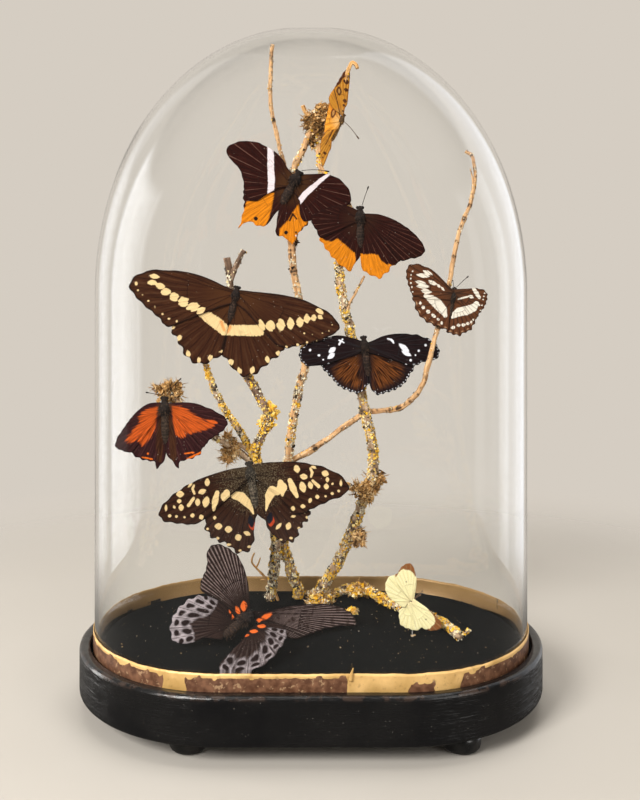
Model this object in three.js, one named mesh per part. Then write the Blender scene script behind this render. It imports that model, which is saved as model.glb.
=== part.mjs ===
// Mounted butterflies on lichen twigs under an oval glass dome, on an ebonised plinth with bun feet.
// Millimetres, +Z up, the front is -Y. The origin is the middle of the footprint, where the feet rest.
import * as THREE from "three";

// ---- Driving dimensions ----
const OVAL_STRAIGHT = 44; // half the straight run that joins the two round ends of every oval
const PLAN_STEPS = 40; // facets round an oval

const FOOT_HEIGHT = 10;
const FOOT_RADIUS = 10;
const FOOT_SOLE_RADIUS = 6.5;
const FOOT_LEFT_X = -61;
const FOOT_RIGHT_X = 75;
const FOOT_Y = 62;

const PLINTH_RADIUS = 84.4;
const PLINTH_HEIGHT = 25;
const PLINTH_EDGE_ROUND = 2.4;
const RECESS_RADIUS = 78.7;
const RECESS_DEPTH = 6;

const GAP = 0.3; // clearance between pieces that touch
const BOARD_RADIUS = 71.8;

const GLASS_RADIUS = 76.3;
const GLASS_WALL = 2.5;
const GLASS_SPRING_Z = 226; // where the upright walls begin to curve in, seen from the front
const GLASS_SIDE_SPRING_Z = 279; // the same, seen from the side
const GLASS_APEX_Z = 374;
const GLASS_ARCH_POWER = 2.1; // 2 is an ellipse, more has fuller shoulders
const GLASS_ARCH_STEPS = 9;

const BAND_THICKNESS = 0.4;
const BAND_BOTTOM_Z = 31;
const BAND_TOP_Z = 43;

const WING_THICKNESS = 0.6;
const WING_POINTS = 22;
const BODY_FACETS = 8;
const TWIG_SIDES = 6;

const PLINTH_TOP_Z = FOOT_HEIGHT + PLINTH_HEIGHT;
const RECESS_Z = PLINTH_TOP_Z - RECESS_DEPTH;

const root = new THREE.Group();

function finish(colour, roughness, metalness = 0) {
  return new THREE.MeshStandardMaterial({ color: colour, roughness, metalness });
}

function addMesh(parent, name, geometry, material) {
  const mesh = new THREE.Mesh(geometry, material);
  mesh.name = name;
  parent.add(mesh);
  return mesh;
}

// ---- Lofting: rings of points joined into one closed skin ----

// Joins rings of equal length. A loop joins the last ring to the first, else both ends are closed
// to the two end points.
function loft(rings, ends) {
  const count = rings[0].length;
  const positions = rings.flat(2);
  const indices = [];
  const bands = ends ? rings.length - 1 : rings.length;
  for (let r = 0; r < bands; r += 1) {
    const low = r * count;
    const high = ((r + 1) % rings.length) * count;
    for (let i = 0; i < count; i += 1) {
      const next = (i + 1) % count;
      indices.push(low + i, low + next, high + next);
      indices.push(low + i, high + next, high + i);
    }
  }
  if (ends) {
    const first = rings.length * count;
    const last = first + 1;
    const top = (rings.length - 1) * count;
    positions.push(...ends[0], ...ends[1]);
    for (let i = 0; i < count; i += 1) {
      const next = (i + 1) % count;
      indices.push(first, next, i);
      indices.push(last, top + i, top + next);
    }
  }
  const geometry = new THREE.BufferGeometry();
  geometry.setAttribute("position", new THREE.Float32BufferAttribute(positions, 3));
  geometry.setIndex(indices);
  geometry.computeVertexNormals();
  return geometry;
}

// One level ring of an oval: two round ends of the given radius about the ends of the straight run.
function ovalRing(radius, z, scaleX = 1, scaleY = 1) {
  const ring = [];
  for (let i = 0; i < PLAN_STEPS; i += 1) {
    const angle = ((i + 0.5) / PLAN_STEPS) * 2 * Math.PI;
    const side = Math.sign(Math.cos(angle));
    const x = side * OVAL_STRAIGHT + radius * Math.cos(angle);
    const y = radius * Math.sin(angle);
    ring.push([x * scaleX, y * scaleY, z]);
  }
  return ring;
}

// ---- Plinth, floor board and feet ----

function plinthGeometry() {
  const bottom = FOOT_HEIGHT;
  const edge = PLINTH_EDGE_ROUND;
  const rings = [
    ovalRing(PLINTH_RADIUS - edge, bottom),
    ovalRing(PLINTH_RADIUS, bottom + edge),
    ovalRing(PLINTH_RADIUS, PLINTH_TOP_Z - edge),
    ovalRing(PLINTH_RADIUS - 0.3 * edge, PLINTH_TOP_Z - 0.3 * edge),
    ovalRing(PLINTH_RADIUS - edge, PLINTH_TOP_Z),
    ovalRing(RECESS_RADIUS, PLINTH_TOP_Z),
    ovalRing(RECESS_RADIUS, RECESS_Z),
  ];
  return loft(rings, [[0, 0, bottom], [0, 0, RECESS_Z]]);
}

function floorBoardGeometry() {
  const bottom = RECESS_Z + GAP;
  const chamfer = 0.5;
  const rings = [
    ovalRing(BOARD_RADIUS, bottom),
    ovalRing(BOARD_RADIUS, PLINTH_TOP_Z - chamfer),
    ovalRing(BOARD_RADIUS - chamfer, PLINTH_TOP_Z),
  ];
  return loft(rings, [[0, 0, bottom], [0, 0, PLINTH_TOP_Z]]);
}

function footGeometry() {
  const top = FOOT_HEIGHT - GAP;
  const profile = [
    new THREE.Vector2(0, 0),
    new THREE.Vector2(FOOT_SOLE_RADIUS, 0),
    new THREE.Vector2(FOOT_RADIUS - 0.6, 2.6),
    new THREE.Vector2(FOOT_RADIUS, 5),
    new THREE.Vector2(FOOT_RADIUS - 1.4, 8),
    new THREE.Vector2(FOOT_SOLE_RADIUS, top),
    new THREE.Vector2(0, top),
  ];
  return new THREE.LatheGeometry(profile, 12).rotateX(Math.PI / 2);
}

// ---- Glass dome and the paper band round its foot ----

// How much an oval has drawn in at a height, from 1 at the spring line to 0 at the apex.
function archScale(z, spring, apex) {
  const rise = Math.max(0, (z - spring) / (apex - spring));
  return Math.pow(Math.max(0, 1 - Math.pow(rise, 2)), 1 / GLASS_ARCH_POWER);
}

function glassRings(inset) {
  const radius = GLASS_RADIUS - inset;
  const apex = GLASS_APEX_Z - inset;
  const rings = [ovalRing(radius, RECESS_Z + GAP), ovalRing(radius, GLASS_SPRING_Z)];
  for (let k = 1; k <= GLASS_ARCH_STEPS; k += 1) {
    const turn = (k / (GLASS_ARCH_STEPS + 0.6)) * (Math.PI / 2);
    const z = GLASS_SPRING_Z + (apex - GLASS_SPRING_Z) * Math.sin(turn);
    const scaleX = archScale(z, GLASS_SPRING_Z, apex);
    const scaleY = archScale(z, GLASS_SIDE_SPRING_Z, apex);
    rings.push(ovalRing(radius, z, scaleX, scaleY));
  }
  return { rings, apex: [0, 0, apex] };
}

function glassGeometry() {
  const outer = glassRings(0);
  const inner = glassRings(GLASS_WALL);
  const skin = [...inner.rings.reverse(), ...outer.rings];
  return loft(skin, [inner.apex, outer.apex]);
}

function bandGeometry() {
  const inside = GLASS_RADIUS + GAP;
  const outside = inside + BAND_THICKNESS;
  return loft([
    ovalRing(inside, BAND_BOTTOM_Z),
    ovalRing(outside, BAND_BOTTOM_Z),
    ovalRing(outside, BAND_TOP_Z),
    ovalRing(inside, BAND_TOP_Z),
  ]);
}

const black = finish(0x141312, 0.35);
const board = finish(0x262626, 0.9);
const glass = finish(0xe8ece8, 0.03);
const gilt = finish(0xb98a3c, 0.5);

addMesh(root, "plinth", plinthGeometry(), black);
addMesh(root, "floor_board", floorBoardGeometry(), board);
addMesh(root, "glass_dome", glassGeometry(), glass);
addMesh(root, "gilt_band", bandGeometry(), gilt);
for (const [side, x] of [["left", FOOT_LEFT_X], ["right", FOOT_RIGHT_X]]) {
  for (const [end, y] of [["front", -FOOT_Y], ["back", FOOT_Y]]) {
    addMesh(root, `foot_${end}_${side}`, footGeometry(), black).position.set(x, y, 0);
  }
}

// ---- Twigs: a spline with a radius that runs from the butt to the tip, flat where it meets the board ----

function twigGeometry(route, buttRadius, tipRadius, steps) {
  const points = route.map(([x, y, z]) => new THREE.Vector3(x, y, z));
  const curve = new THREE.CatmullRomCurve3(points, false, "centripetal");
  const frames = curve.computeFrenetFrames(steps, false);
  const rings = [];
  for (let s = 0; s <= steps; s += 1) {
    const along = s / steps;
    const centre = curve.getPointAt(along);
    const radius = buttRadius + (tipRadius - buttRadius) * along;
    const ring = [];
    for (let k = 0; k < TWIG_SIDES; k += 1) {
      const angle = (k / TWIG_SIDES) * 2 * Math.PI;
      const point = centre
        .clone()
        .addScaledVector(frames.normals[s], radius * Math.cos(angle))
        .addScaledVector(frames.binormals[s], radius * Math.sin(angle));
      point.z = Math.max(point.z, PLINTH_TOP_Z + GAP);
      ring.push(point.toArray());
    }
    rings.push(ring);
  }
  return loft(rings, [middleOf(rings[0]), middleOf(rings[steps])]);
}

function middleOf(ring) {
  return [0, 1, 2].map((axis) => ring.reduce((sum, p) => sum + p[axis], 0) / ring.length);
}

const bark = finish(0x7d6a4a, 0.95);
const paleBark = finish(0xb08a55, 0.9);

// The three stems rise from the back of the board and lean forward to carry the butterflies.
const TWIGS = {
  left_stem: {
    radii: [2.7, 2.5],
    steps: 8,
    route: [[-25.6, 54, 36], [-24.4, 50, 45], [-22.9, 42, 57.5], [-20.9, 32, 78], [-23.2, 26, 97.5],
      [-27.6, 21, 114.5], [-31.4, 17.5, 128.5]],
  },
  left_stem_top: {
    radii: [2.3, 1.7],
    steps: 16,
    route: [[-32, 15.5, 132], [-31.3, 14, 139], [-27.5, 12, 146.5], [-24, 11, 154.5], [-27, 10, 162],
      [-32, 9, 171], [-36, 8.5, 178.5], [-40, 8.8, 193.5], [-44, 9, 211], [-45.9, 8.8, 224],
      [-46.3, 7.5, 236.5], [-48, 6, 246.5]],
  },
  lichen_twig: {
    radii: [1.7, 1.2],
    steps: 9,
    route: [[-36.4, 17, 136], [-39, 16, 142.5], [-44, 14, 150.5], [-49, 13, 157.5], [-54, 11.5, 167],
      [-57.5, 10, 175], [-61, 8, 187], [-62.5, 7, 193.5]],
  },
  side_branch: {
    radii: [1.9, 1.5],
    steps: 8,
    route: [[-37.2, 17.5, 130], [-44, 13.5, 136.5], [-56, 9, 144.5], [-68, 6.5, 156], [-80, 4.2, 169.5]],
  },
  middle_stem: {
    radii: [2.8, 2.3],
    steps: 9,
    route: [[-7.2, 54, 36.5], [-9.6, 50, 47], [-12.5, 46, 57], [-15.5, 42, 67.5], [-17.3, 38, 77],
      [-18, 32, 93], [-16, 26, 112.5], [-13.8, 22, 124.5]],
  },
  middle_stem_top: {
    radii: [2.2, 1.7],
    steps: 22,
    route: [[-13, 19.6, 131], [-11.7, 17, 146], [-10, 15, 154.5], [-7.3, 12.5, 170], [-3.8, 11, 182],
      [-3.5, 10, 196], [-5.2, 9.5, 212], [-7, 8.5, 224.5], [-9, 7.5, 234], [-10.8, 5.5, 248],
      [-11.4, 4, 262], [-11.3, 3.5, 275], [-10.8, 3, 287], [-9, 3, 299], [-4.6, 3, 307], [-2, 3, 314]],
  },
  right_trunk: {
    radii: [2.9, 2.3],
    steps: 17,
    route: [[1.5, 54, 36.5], [6, 51, 42.5], [11, 48, 51], [16, 45, 60], [20, 42, 69.5], [26.8, 36, 88],
      [31, 31, 102], [36, 26.5, 117], [37, 23.5, 128], [34.8, 20, 143.5], [31.2, 18, 157],
      [29.8, 17, 167], [27, 15.5, 184.5], [23.3, 14, 202], [21, 13, 211]],
  },
  right_stem_top: {
    radii: [2.1, 1.3],
    steps: 26,
    route: [[19.6, 12.3, 216.5], [17, 10.5, 230.5], [16.1, 9, 243], [19.5, 7.8, 254], [23, 7, 265],
      [21, 6.5, 277], [14.2, 6, 287], [7, 5, 295], [4.8, 5, 302], [4.2, 5, 311], [2.6, 5, 319],
      [-1, 5.2, 324.5], [1.3, 5.4, 329.5], [6.3, 5.2, 330], [10.4, 5, 326], [13.2, 5, 320.5]],
  },
  cross_branch: {
    radii: [1.8, 1],
    steps: 30,
    route: [[-9, 22.6, 128.5], [6.6, 25, 137.5], [19.4, 25.6, 147], [28.8, 24.6, 153.3], [35, 23, 156],
      [44, 17, 158.3], [51.2, 11, 160.2], [57, 7, 165], [62, 4.5, 171.5], [65, 2.5, 179],
      [67.2, 2, 188], [69, 2, 196], [72.6, 3, 206.5], [76, 4, 219.5], [79, 5, 232], [80.5, 5, 241],
      [84, 5, 258.5], [88, 5, 269.5], [91.4, 4.5, 279], [93.2, 4, 288], [93.8, 3.5, 297],
      [92, 3, 304.5], [88.2, 3, 307.3]],
  },
  top_twig: {
    radii: [1.2, 1],
    steps: 8,
    route: [[-14.6, 2, 296], [-16.8, 1, 305], [-21, -1, 322.5], [-22.8, -2, 334.5], [-22.5, -3, 355.5],
      [-21.8, -4, 364]],
  },
  fallen_branch: {
    radii: [2, 2.2],
    steps: 12,
    route: [[16, 58, 38], [23, 60, 40.5], [31, 57, 41.5], [38.5, 52, 40], [46, 43.5, 38.5],
      [52, 34, 37.8], [61.5, 25.5, 37.6], [73, 12, 37.6], [80, -3, 37.7], [81.5, -14, 37.8]],
  },
  // A stiff pin stands in the board and holds the little pale butterfly up.
  pale_butterfly_pin: {
    radii: [0.4, 0.4],
    steps: 3,
    route: [[56.6, -6, 35.5], [57.2, -3, 42], [57.2, -1.2, 48], [56.9, -1.2, 55]],
  },
};

for (const [name, twig] of Object.entries(TWIGS)) {
  const [butt, tip] = twig.radii;
  const skin = name === "top_twig" || name === "cross_branch" ? paleBark : bark;
  addMesh(root, name, twigGeometry(twig.route, butt, tip, twig.steps), skin);
}

// ---- Butterflies ----

// A body is turned about the line from the tip of the abdomen to the head.
function bodyGeometry(length, thorax) {
  const stations = [
    [0, 0], [0.04, 0.35], [0.2, 0.62], [0.42, 0.66], [0.56, 0.6], [0.7, 1], [0.82, 0.85],
    [0.88, 0.5], [0.94, 0.58], [1, 0],
  ];
  const profile = stations.map(([along, girth]) => new THREE.Vector2(girth * thorax, along * length));
  return new THREE.LatheGeometry(profile, BODY_FACETS);
}

function placeBody(group, name, head, tail, thorax, material) {
  const from = new THREE.Vector3(...tail);
  const line = new THREE.Vector3(...head).sub(from);
  const body = addMesh(group, `${name}_body`, bodyGeometry(line.length(), thorax), material);
  body.position.copy(from);
  body.quaternion.setFromUnitVectors(new THREE.Vector3(0, 1, 0), line.clone().normalize());
}

// A wing is a thin plate inside a smooth outline. An upright wing's outline is (x, z) and its slope
// gives the depth; a lying wing's outline is (x, y) and its slope gives the height.
function wingGeometry(outline, lift, [slopeA, slopeB], lying) {
  const points = outline.map(([a, b]) => new THREE.Vector3(a, b, 0));
  const curve = new THREE.CatmullRomCurve3(points, true, "centripetal");
  const edge = curve.getSpacedPoints(WING_POINTS).slice(0, -1);
  const shape = new THREE.Shape(edge.map((p) => new THREE.Vector2(p.x, p.y)));
  const plate = new THREE.ExtrudeGeometry(shape, { depth: WING_THICKNESS, bevelEnabled: false });
  const place = new THREE.Matrix4();
  if (lying) {
    place.set(1, 0, 0, 0, 0, 1, 0, 0, slopeA, slopeB, 1, lift, 0, 0, 0, 1);
  } else {
    place.set(1, 0, 0, 0, slopeA, slopeB, -1, lift, 0, 1, 0, 0, 0, 0, 0, 1);
  }
  return plate.applyMatrix4(place);
}

// Each place, head and tail is [x, y, z]; head, tail and wings are measured from the thorax.
const BUTTERFLIES = {
  orange_leaf_butterfly: {
    at: [17, 1, 323.2],
    head: [1.8, 0, 4.6],
    tail: [-5.4, 0.6, -11],
    thorax: 1.9,
    colour: 0xc98a35,
    wings: {
      upper_wings: {
        lift: -2.2, slope: [1.2, 0.1],
        outline: [[-2.4, 4.6], [-7.2, 10.5], [-3.4, 19.2], [3.4, 31], [4.9, 30.8], [4.4, 18], [2.8, 8.6]],
      },
      lower_wings: {
        lift: -3.4, slope: [1.2, 0.1],
        outline: [[-2.6, -1.4], [-8.7, -7.6], [-11.8, -14.4], [-11.9, -20.3], [-10.6, -27.4],
          [-7, -19], [-3.4, -10]],
      },
    },
  },
  white_banded_butterfly: {
    at: [-10.2, -2, 287.7],
    head: [4.2, 0, 7.5],
    tail: [-6.7, 0.5, -12.2],
    thorax: 2.5,
    colour: 0x33140f,
    wings: {
      left_forewing: {
        lift: -1.5, slope: [0.12, 0],
        outline: [[-1.8, 4.6], [-6.5, 14.6], [-14.3, 20.5], [-23, 23.5], [-32, 22.5], [-37.2, 18.8],
          [-36, 15], [-29.5, 7.8], [-27.2, -0.5], [-26.3, -7], [-22, -10], [-12, -4.5], [-3.6, 0.2]],
      },
      left_hindwing: {
        lift: -0.5, slope: [0.12, 0],
        outline: [[-4, 0], [-17, -4.5], [-27.3, -3.6], [-27, -10.6], [-27.7, -17.2], [-29.8, -24],
          [-25, -20.8], [-21.8, -22.6], [-16.7, -24], [-14.4, -23], [-8.8, -13.4], [-5.8, -5]],
      },
      right_forewing: {
        lift: -1.5, slope: [0.15, 0],
        outline: [[4.8, 3], [11.2, 5.6], [18.7, 5.9], [26.2, 3.1], [31.9, -3.4], [32.8, -9.1],
          [30.5, -12], [21, -15.5], [5.6, -20.6], [4.2, -4]],
      },
      right_hindwing: {
        lift: -0.5, slope: [0.15, 0],
        outline: [[2.6, -3.8], [7, -11.7], [9.3, -20.5], [3.7, -27], [-0.9, -33.6], [-3.9, -30.3],
          [-6, -30], [-10.2, -27], [-4.6, -15], [0.2, -6.4]],
      },
    },
  },
  maroon_orange_butterfly: {
    at: [28.2, 1, 268.3],
    head: [-0.5, 0, 7.5],
    tail: [-0.4, 1, -17.8],
    thorax: 2.4,
    colour: 0x2f1210,
    wings: {
      left_wings: {
        lift: -1.5, slope: [0.12, 0],
        outline: [[-2.8, 3.6], [-7.6, 7.3], [-16, 6.8], [-23.5, 3.9], [-28.6, -0.3], [-25.4, -5.9],
          [-23.4, -10], [-21.6, -14.2], [-16, -21.7], [-11.3, -26.3], [-5.7, -29.1], [-3, -19], [-2.9, -4]],
      },
      right_wings: {
        lift: -1.5, slope: [-0.12, 0],
        outline: [[2.7, 2.2], [8.3, 2.7], [17.5, -0.2], [26.7, -5.9], [33.2, -12.5], [35.7, -19],
          [33.2, -21.3], [24.9, -23.1], [19.4, -24.5], [15.8, -29.1], [9.7, -33.3], [4.6, -31],
          [0.6, -28.2], [2, -19.7], [2.8, -8]],
      },
    },
  },
  brown_swallowtail: {
    at: [-42.6, 2.4, 225],
    head: [1.2, 0, 5.6],
    tail: [-3.8, 0.6, -15.8],
    thorax: 3,
    colour: 0x3a2718,
    wings: {
      left_forewing: {
        lift: -1.8, slope: [0.12, 0],
        outline: [[-3.2, 2.6], [-12.2, 8.3], [-23.6, 12.5], [-35.8, 14.3], [-47.9, 14.1], [-55.1, 11.2],
          [-59.1, 6.7], [-54.3, -1.9], [-48, -7.7], [-42, -13], [-39.4, -17.2], [-20, -10.9], [-3.2, -3]],
      },
      left_hindwing: {
        lift: -0.8, slope: [0.12, 0],
        outline: [[-3.8, -4.2], [-20, -9.4], [-35.5, -14.6], [-35.5, -20.5], [-31.8, -25.5],
          [-29.4, -31.3], [-25.3, -36.3], [-21.3, -38.4], [-15.5, -37.6], [-11.4, -34.8],
          [-7, -30], [-6.4, -20], [-5.4, -12]],
      },
      right_forewing: {
        lift: -1.8, slope: [0.05, 0],
        outline: [[4, 2], [13.4, 1.9], [25.8, 0.5], [38.3, -2.5], [49.1, -7.5], [56.6, -13.3],
          [59.1, -18.3], [54.1, -22.5], [46.6, -25.9], [34.1, -28.7], [25.8, -29.5], [14.9, -19.5],
          [3.4, -4.2]],
      },
      right_hindwing: {
        lift: -0.8, slope: [0.05, 0],
        outline: [[3.4, -5.4], [14.8, -16.5], [26, -27], [27.5, -30.9], [22.5, -35], [18.3, -38.3],
          [12.5, -43.3], [6.7, -45.8], [2.5, -44.9], [-2.4, -39.9], [-4.6, -32], [-1.4, -20], [1, -12]],
      },
    },
  },
  sailer_butterfly: {
    at: [80.6, 0.2, 225],
    head: [0.7, 0, 5],
    tail: [-3.1, 1.3, -18.1],
    thorax: 1.7,
    colour: 0x3b2a1c,
    wings: {
      left_wings: {
        lift: -1.2, slope: [0.1, 0],
        outline: [[-1.9, 2.4], [-6, 8.6], [-13.3, 15.1], [-20.5, 17.6], [-24.9, 17.6], [-27.2, 14.4],
          [-26.7, 8.6], [-24.9, 2.9], [-22.6, -1.5], [-22.3, -5.7], [-19.8, -10.7], [-14.6, -15.1],
          [-8.8, -17.6], [-7, -18.7], [-4.5, -13], [-2.2, -5]],
      },
      right_wings: {
        lift: -1.2, slope: [-0.1, 0],
        outline: [[1.9, 1.4], [8.3, 4], [14, 4.1], [18.2, 1.8], [18.5, -1.4], [16.8, -6.4],
          [12.9, -11.8], [11.3, -15.8], [8.4, -20.1], [3.4, -21.2], [0.6, -23], [-0.6, -16],
          [1.4, -5]],
      },
    },
  },
  black_spotted_butterfly: {
    at: [31, 8.5, 195.5],
    head: [-1.1, 0, 6.6],
    tail: [2, 1, -17.8],
    thorax: 2.5,
    colour: 0x1a1518,
    wings: {
      left_forewing: {
        lift: -1.5, slope: [0.1, 0],
        outline: [[-2.9, 2.1], [-10.1, 5.9], [-17, 6.7], [-25.4, 4.5], [-33.8, 1.9], [-37.5, -1.9],
          [-36.9, -7.3], [-33.8, -10.3], [-26.2, -10.4], [-13.9, -7.3], [-3, -2.8]],
      },
      left_hindwing: {
        lift: -0.5, slope: [0.1, 0],
        outline: [[-3, -3.6], [-13.8, -6.6], [-25.4, -9.6], [-22.3, -14.3], [-18.5, -18.2],
          [-15.4, -22], [-10, -24.8], [-4.6, -26.4], [-0.8, -25.6], [-1.4, -15]],
      },
      right_forewing: {
        lift: -1.5, slope: [0.03, 0],
        outline: [[2.4, 1.6], [9.2, 5.9], [18.3, 7.6], [29.9, 6.8], [38.4, 3.5], [42.6, -1.5],
          [41.5, -6.9], [33.7, -8.4], [28.5, -10.8], [15.4, -7.5], [2.4, -2.3]],
      },
      right_hindwing: {
        lift: -0.5, slope: [0.03, 0],
        outline: [[3, -3.6], [15.5, -7.6], [28.7, -10], [24.6, -17.7], [23.1, -20.4], [17.7, -24.2],
          [10.7, -26.5], [6.1, -27.4], [3.8, -24.5], [3.6, -14.4]],
      },
    },
  },
  red_maroon_butterfly: {
    at: [-82.3, -1, 161.4],
    head: [-0.3, 0, 7.2],
    tail: [0.6, 1, -21],
    thorax: 2.6,
    colour: 0x3a1210,
    wings: {
      left_wings: {
        lift: -1.5, slope: [0.1, 0],
        outline: [[-2.6, 3.1], [-8.9, 3.1], [-16, -1.7], [-21.6, -8.8], [-25.7, -15.1], [-27.7, -19.7],
          [-25.1, -22.6], [-18.8, -23.8], [-16.8, -25.8], [-12.6, -28.4], [-6.2, -29.6], [-4.1, -32.9],
          [-1.3, -32.9], [-1.6, -20], [-2.8, -5]],
      },
      right_wings: {
        lift: -1.5, slope: [-0.1, 0],
        outline: [[2.8, 2.2], [10.4, 3.8], [18.4, 3.2], [25.6, 0.5], [32.1, -2.6], [35.8, -6.4],
          [33.6, -11.4], [27.1, -15.8], [21.8, -21], [19, -25.8], [14, -28], [9.6, -29.2],
          [7.4, -32.1], [4.8, -32.8], [2.4, -24], [2.8, -5]],
      },
    },
  },
  citrus_swallowtail: {
    at: [-33.8, 11.5, 122],
    head: [-2, 0, 7.6],
    tail: [2.4, 1, -20.5],
    thorax: 3,
    colour: 0x2b1d15,
    wings: {
      left_forewing: {
        lift: -1.8, slope: [0.12, 0],
        outline: [[-3.6, 3.9], [-11.9, 3.5], [-22.2, 0.9], [-32.5, -2.8], [-41.9, -8.2], [-49.8, -15.1],
          [-52.8, -20.7], [-50.6, -24.7], [-42, -26.6], [-32.5, -27.5], [-27, -24.7], [-13.8, -13.2],
          [-3.2, -2.6]],
      },
      left_hindwing: {
        lift: -0.8, slope: [0.12, 0],
        outline: [[-3.4, -4], [-13.9, -12.8], [-26.3, -23.7], [-27.1, -28.1], [-23.9, -34.6],
          [-18.3, -38], [-13.5, -40.2], [-8.7, -44.8], [-3.2, -44.2], [1, -40.3], [0.8, -30],
          [-1.4, -17.9]],
      },
      right_forewing: {
        lift: -1.8, slope: [-0.12, 0],
        outline: [[2.4, 5.3], [13.9, 7.6], [26, 7.9], [38, 6.1], [48.4, 2.3], [53.9, -2.3],
          [55.5, -6.6], [51.6, -10.7], [43.6, -14.1], [34.8, -18.4], [25.2, -22.1], [14.9, -12.1],
          [3.4, -1.4]],
      },
      right_hindwing: {
        lift: -0.8, slope: [-0.12, 0],
        outline: [[3.6, -2.8], [14.9, -11.6], [25.2, -20.8], [33.6, -19.2], [30.8, -26.4],
          [26.8, -30.5], [25.6, -36.2], [19.5, -38.4], [14.7, -37.7], [10.6, -31.8], [6.5, -23.9],
          [4.4, -12.7]],
      },
    },
  },
  great_mormon: {
    at: [-35.2, -15, 47.9],
    head: [2.7, 1.4, 3.4],
    tail: [-11.7, -8, -6.6],
    thorax: 3,
    colour: 0x2a211d,
    wings: {
      left_forewing: {
        lift: 0, slope: [0.15, 0.3],
        outline: [[-2.3, 5.3], [0.9, 12], [-0.4, 21], [-5, 31.3], [-11.8, 36.8], [-17, 38.7],
          [-21.1, 37.5], [-22.7, 32], [-22.5, 26.6], [-25.3, 20.6], [-25.5, 15.9], [-18.4, 11.5],
          [-7, 5]],
      },
      left_hindwing: {
        lift: -1, slope: [0.155, 0.745],
        outline: [[-8, 3.6], [-15.1, 8.5], [-23.2, 11.5], [-29.7, 10.9], [-35.9, 7.7], [-39.7, 3.2],
          [-40.6, -2.5], [-37.9, -7.7], [-31.5, -8.6], [-25.2, -7.7], [-14, -3.8], [-8.6, 0]],
      },
      right_forewing: {
        lift: 0, slope: [0.54, 1.3],
        outline: [[6, 0.5], [14.3, 1.7], [25.5, 1.8], [40.7, 0.7], [52.3, -2.1], [60, -6.8],
          [61.7, -9.7], [55.9, -9.9], [44.4, -9.4], [33.1, -10.4], [25.8, -11], [15.4, -6.4],
          [5.4, -1.4]],
      },
      right_hindwing: {
        lift: 0.3, slope: [0.144, 0.266], lying: true,
        outline: [[4.5, -8], [-1.9, -20.2], [-8.6, -30], [-11.6, -36.5], [-9, -42.6], [0, -44.5],
          [10.4, -41.6], [17.4, -33], [22.2, -20], [20, -12], [11, -6.5]],
      },
    },
  },
  pale_butterfly: {
    at: [56.3, -4, 54.2],
    head: [2.2, 0, 1.9],
    tail: [-6.2, 1, -4.8],
    thorax: 1.2,
    colour: 0xe9dd92,
    wings: {
      upper_wings: {
        lift: -0.9, slope: [0.1, 0.05],
        outline: [[1.2, 2.8], [2.7, 8], [2.8, 13.2], [2, 16.3], [0.4, 20.3], [-2, 21], [-5.9, 18.9],
          [-8.7, 14.7], [-12.3, 14], [-14.7, 10.8], [-14.7, 6.1], [-12.3, 1.8], [-8.3, -0.6],
          [-5, -0.9], [-2, 1.2]],
      },
      lower_wings: {
        lift: -0.9, slope: [-0.1, 0.05],
        outline: [[2.6, -0.6], [6.5, -2], [10.8, -5.3], [14.2, -8.7], [16.9, -13.2], [12.6, -15.6],
          [8.7, -15.4], [4.1, -14.4], [2.8, -16.6], [-0.5, -15.2], [-3.2, -15.1], [-6.7, -12],
          [-8, -7.6], [-5.6, -6.6], [-0.6, -3]],
      },
    },
  },
};

for (const [name, kind] of Object.entries(BUTTERFLIES)) {
  const group = new THREE.Group();
  group.position.set(...kind.at);
  root.add(group);
  placeBody(group, name, kind.head, kind.tail, kind.thorax, finish(0x2a211c, 0.9));
  for (const [wingName, wing] of Object.entries(kind.wings)) {
    const plate = wingGeometry(wing.outline, wing.lift, wing.slope, wing.lying);
    addMesh(group, `${name}_${wingName}`, plate, finish(kind.colour, 0.85));
  }
}

export default root;
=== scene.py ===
"""Ten mounted butterflies on lichen twigs under an oval glass dome, on an ebonised plinth.

Sizes in the classes are millimetres, and add_piece turns them to metres. The front is -Y.
"""

from __future__ import annotations

import logging
import math
from dataclasses import dataclass, field
from enum import Enum

import bpy
import numpy as np
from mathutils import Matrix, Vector, geometry, noise

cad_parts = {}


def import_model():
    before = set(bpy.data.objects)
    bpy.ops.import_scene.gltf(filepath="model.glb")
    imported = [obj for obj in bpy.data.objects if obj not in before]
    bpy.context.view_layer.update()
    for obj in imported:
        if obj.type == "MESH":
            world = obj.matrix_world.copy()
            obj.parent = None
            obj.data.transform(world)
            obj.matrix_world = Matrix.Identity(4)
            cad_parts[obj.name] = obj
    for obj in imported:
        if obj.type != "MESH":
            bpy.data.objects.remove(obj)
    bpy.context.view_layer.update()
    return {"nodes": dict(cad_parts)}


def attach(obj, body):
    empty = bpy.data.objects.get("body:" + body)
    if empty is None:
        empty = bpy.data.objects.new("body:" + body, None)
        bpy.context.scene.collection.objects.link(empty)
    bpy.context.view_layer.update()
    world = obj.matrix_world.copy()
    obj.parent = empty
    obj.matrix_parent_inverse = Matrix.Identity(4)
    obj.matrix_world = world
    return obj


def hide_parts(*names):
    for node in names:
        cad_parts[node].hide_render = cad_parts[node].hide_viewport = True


LOG = logging.getLogger("butterfly_dome")
MM = 0.001
FAR = 99.0
OVAL_STRAIGHT = 44.0
BOARD_TOP = 35.0
TWIG_STEP = 0.8
FLAKE_POINTS = 8

Array = np.ndarray
Chance = np.random.Generator
Material = bpy.types.Material
Object = bpy.types.Object
Socket = bpy.types.NodeSocket
Faces = list[tuple[int, ...]]
Skin = tuple[Array, Faces]
Pair = tuple[Array, Array]
Spot = tuple[float, float]
Colour = tuple[float, float, float]
Point = tuple[float, float, float]
Mark = object


# ---- Numbers and lines ----


def fade(value: Array, low: float, high: float) -> Array:
    """Return a smooth step from 0 at low to 1 at high."""
    share = np.clip((value - low) / (high - low), 0, 1)
    return share * share * (3 - 2 * share)


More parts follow.
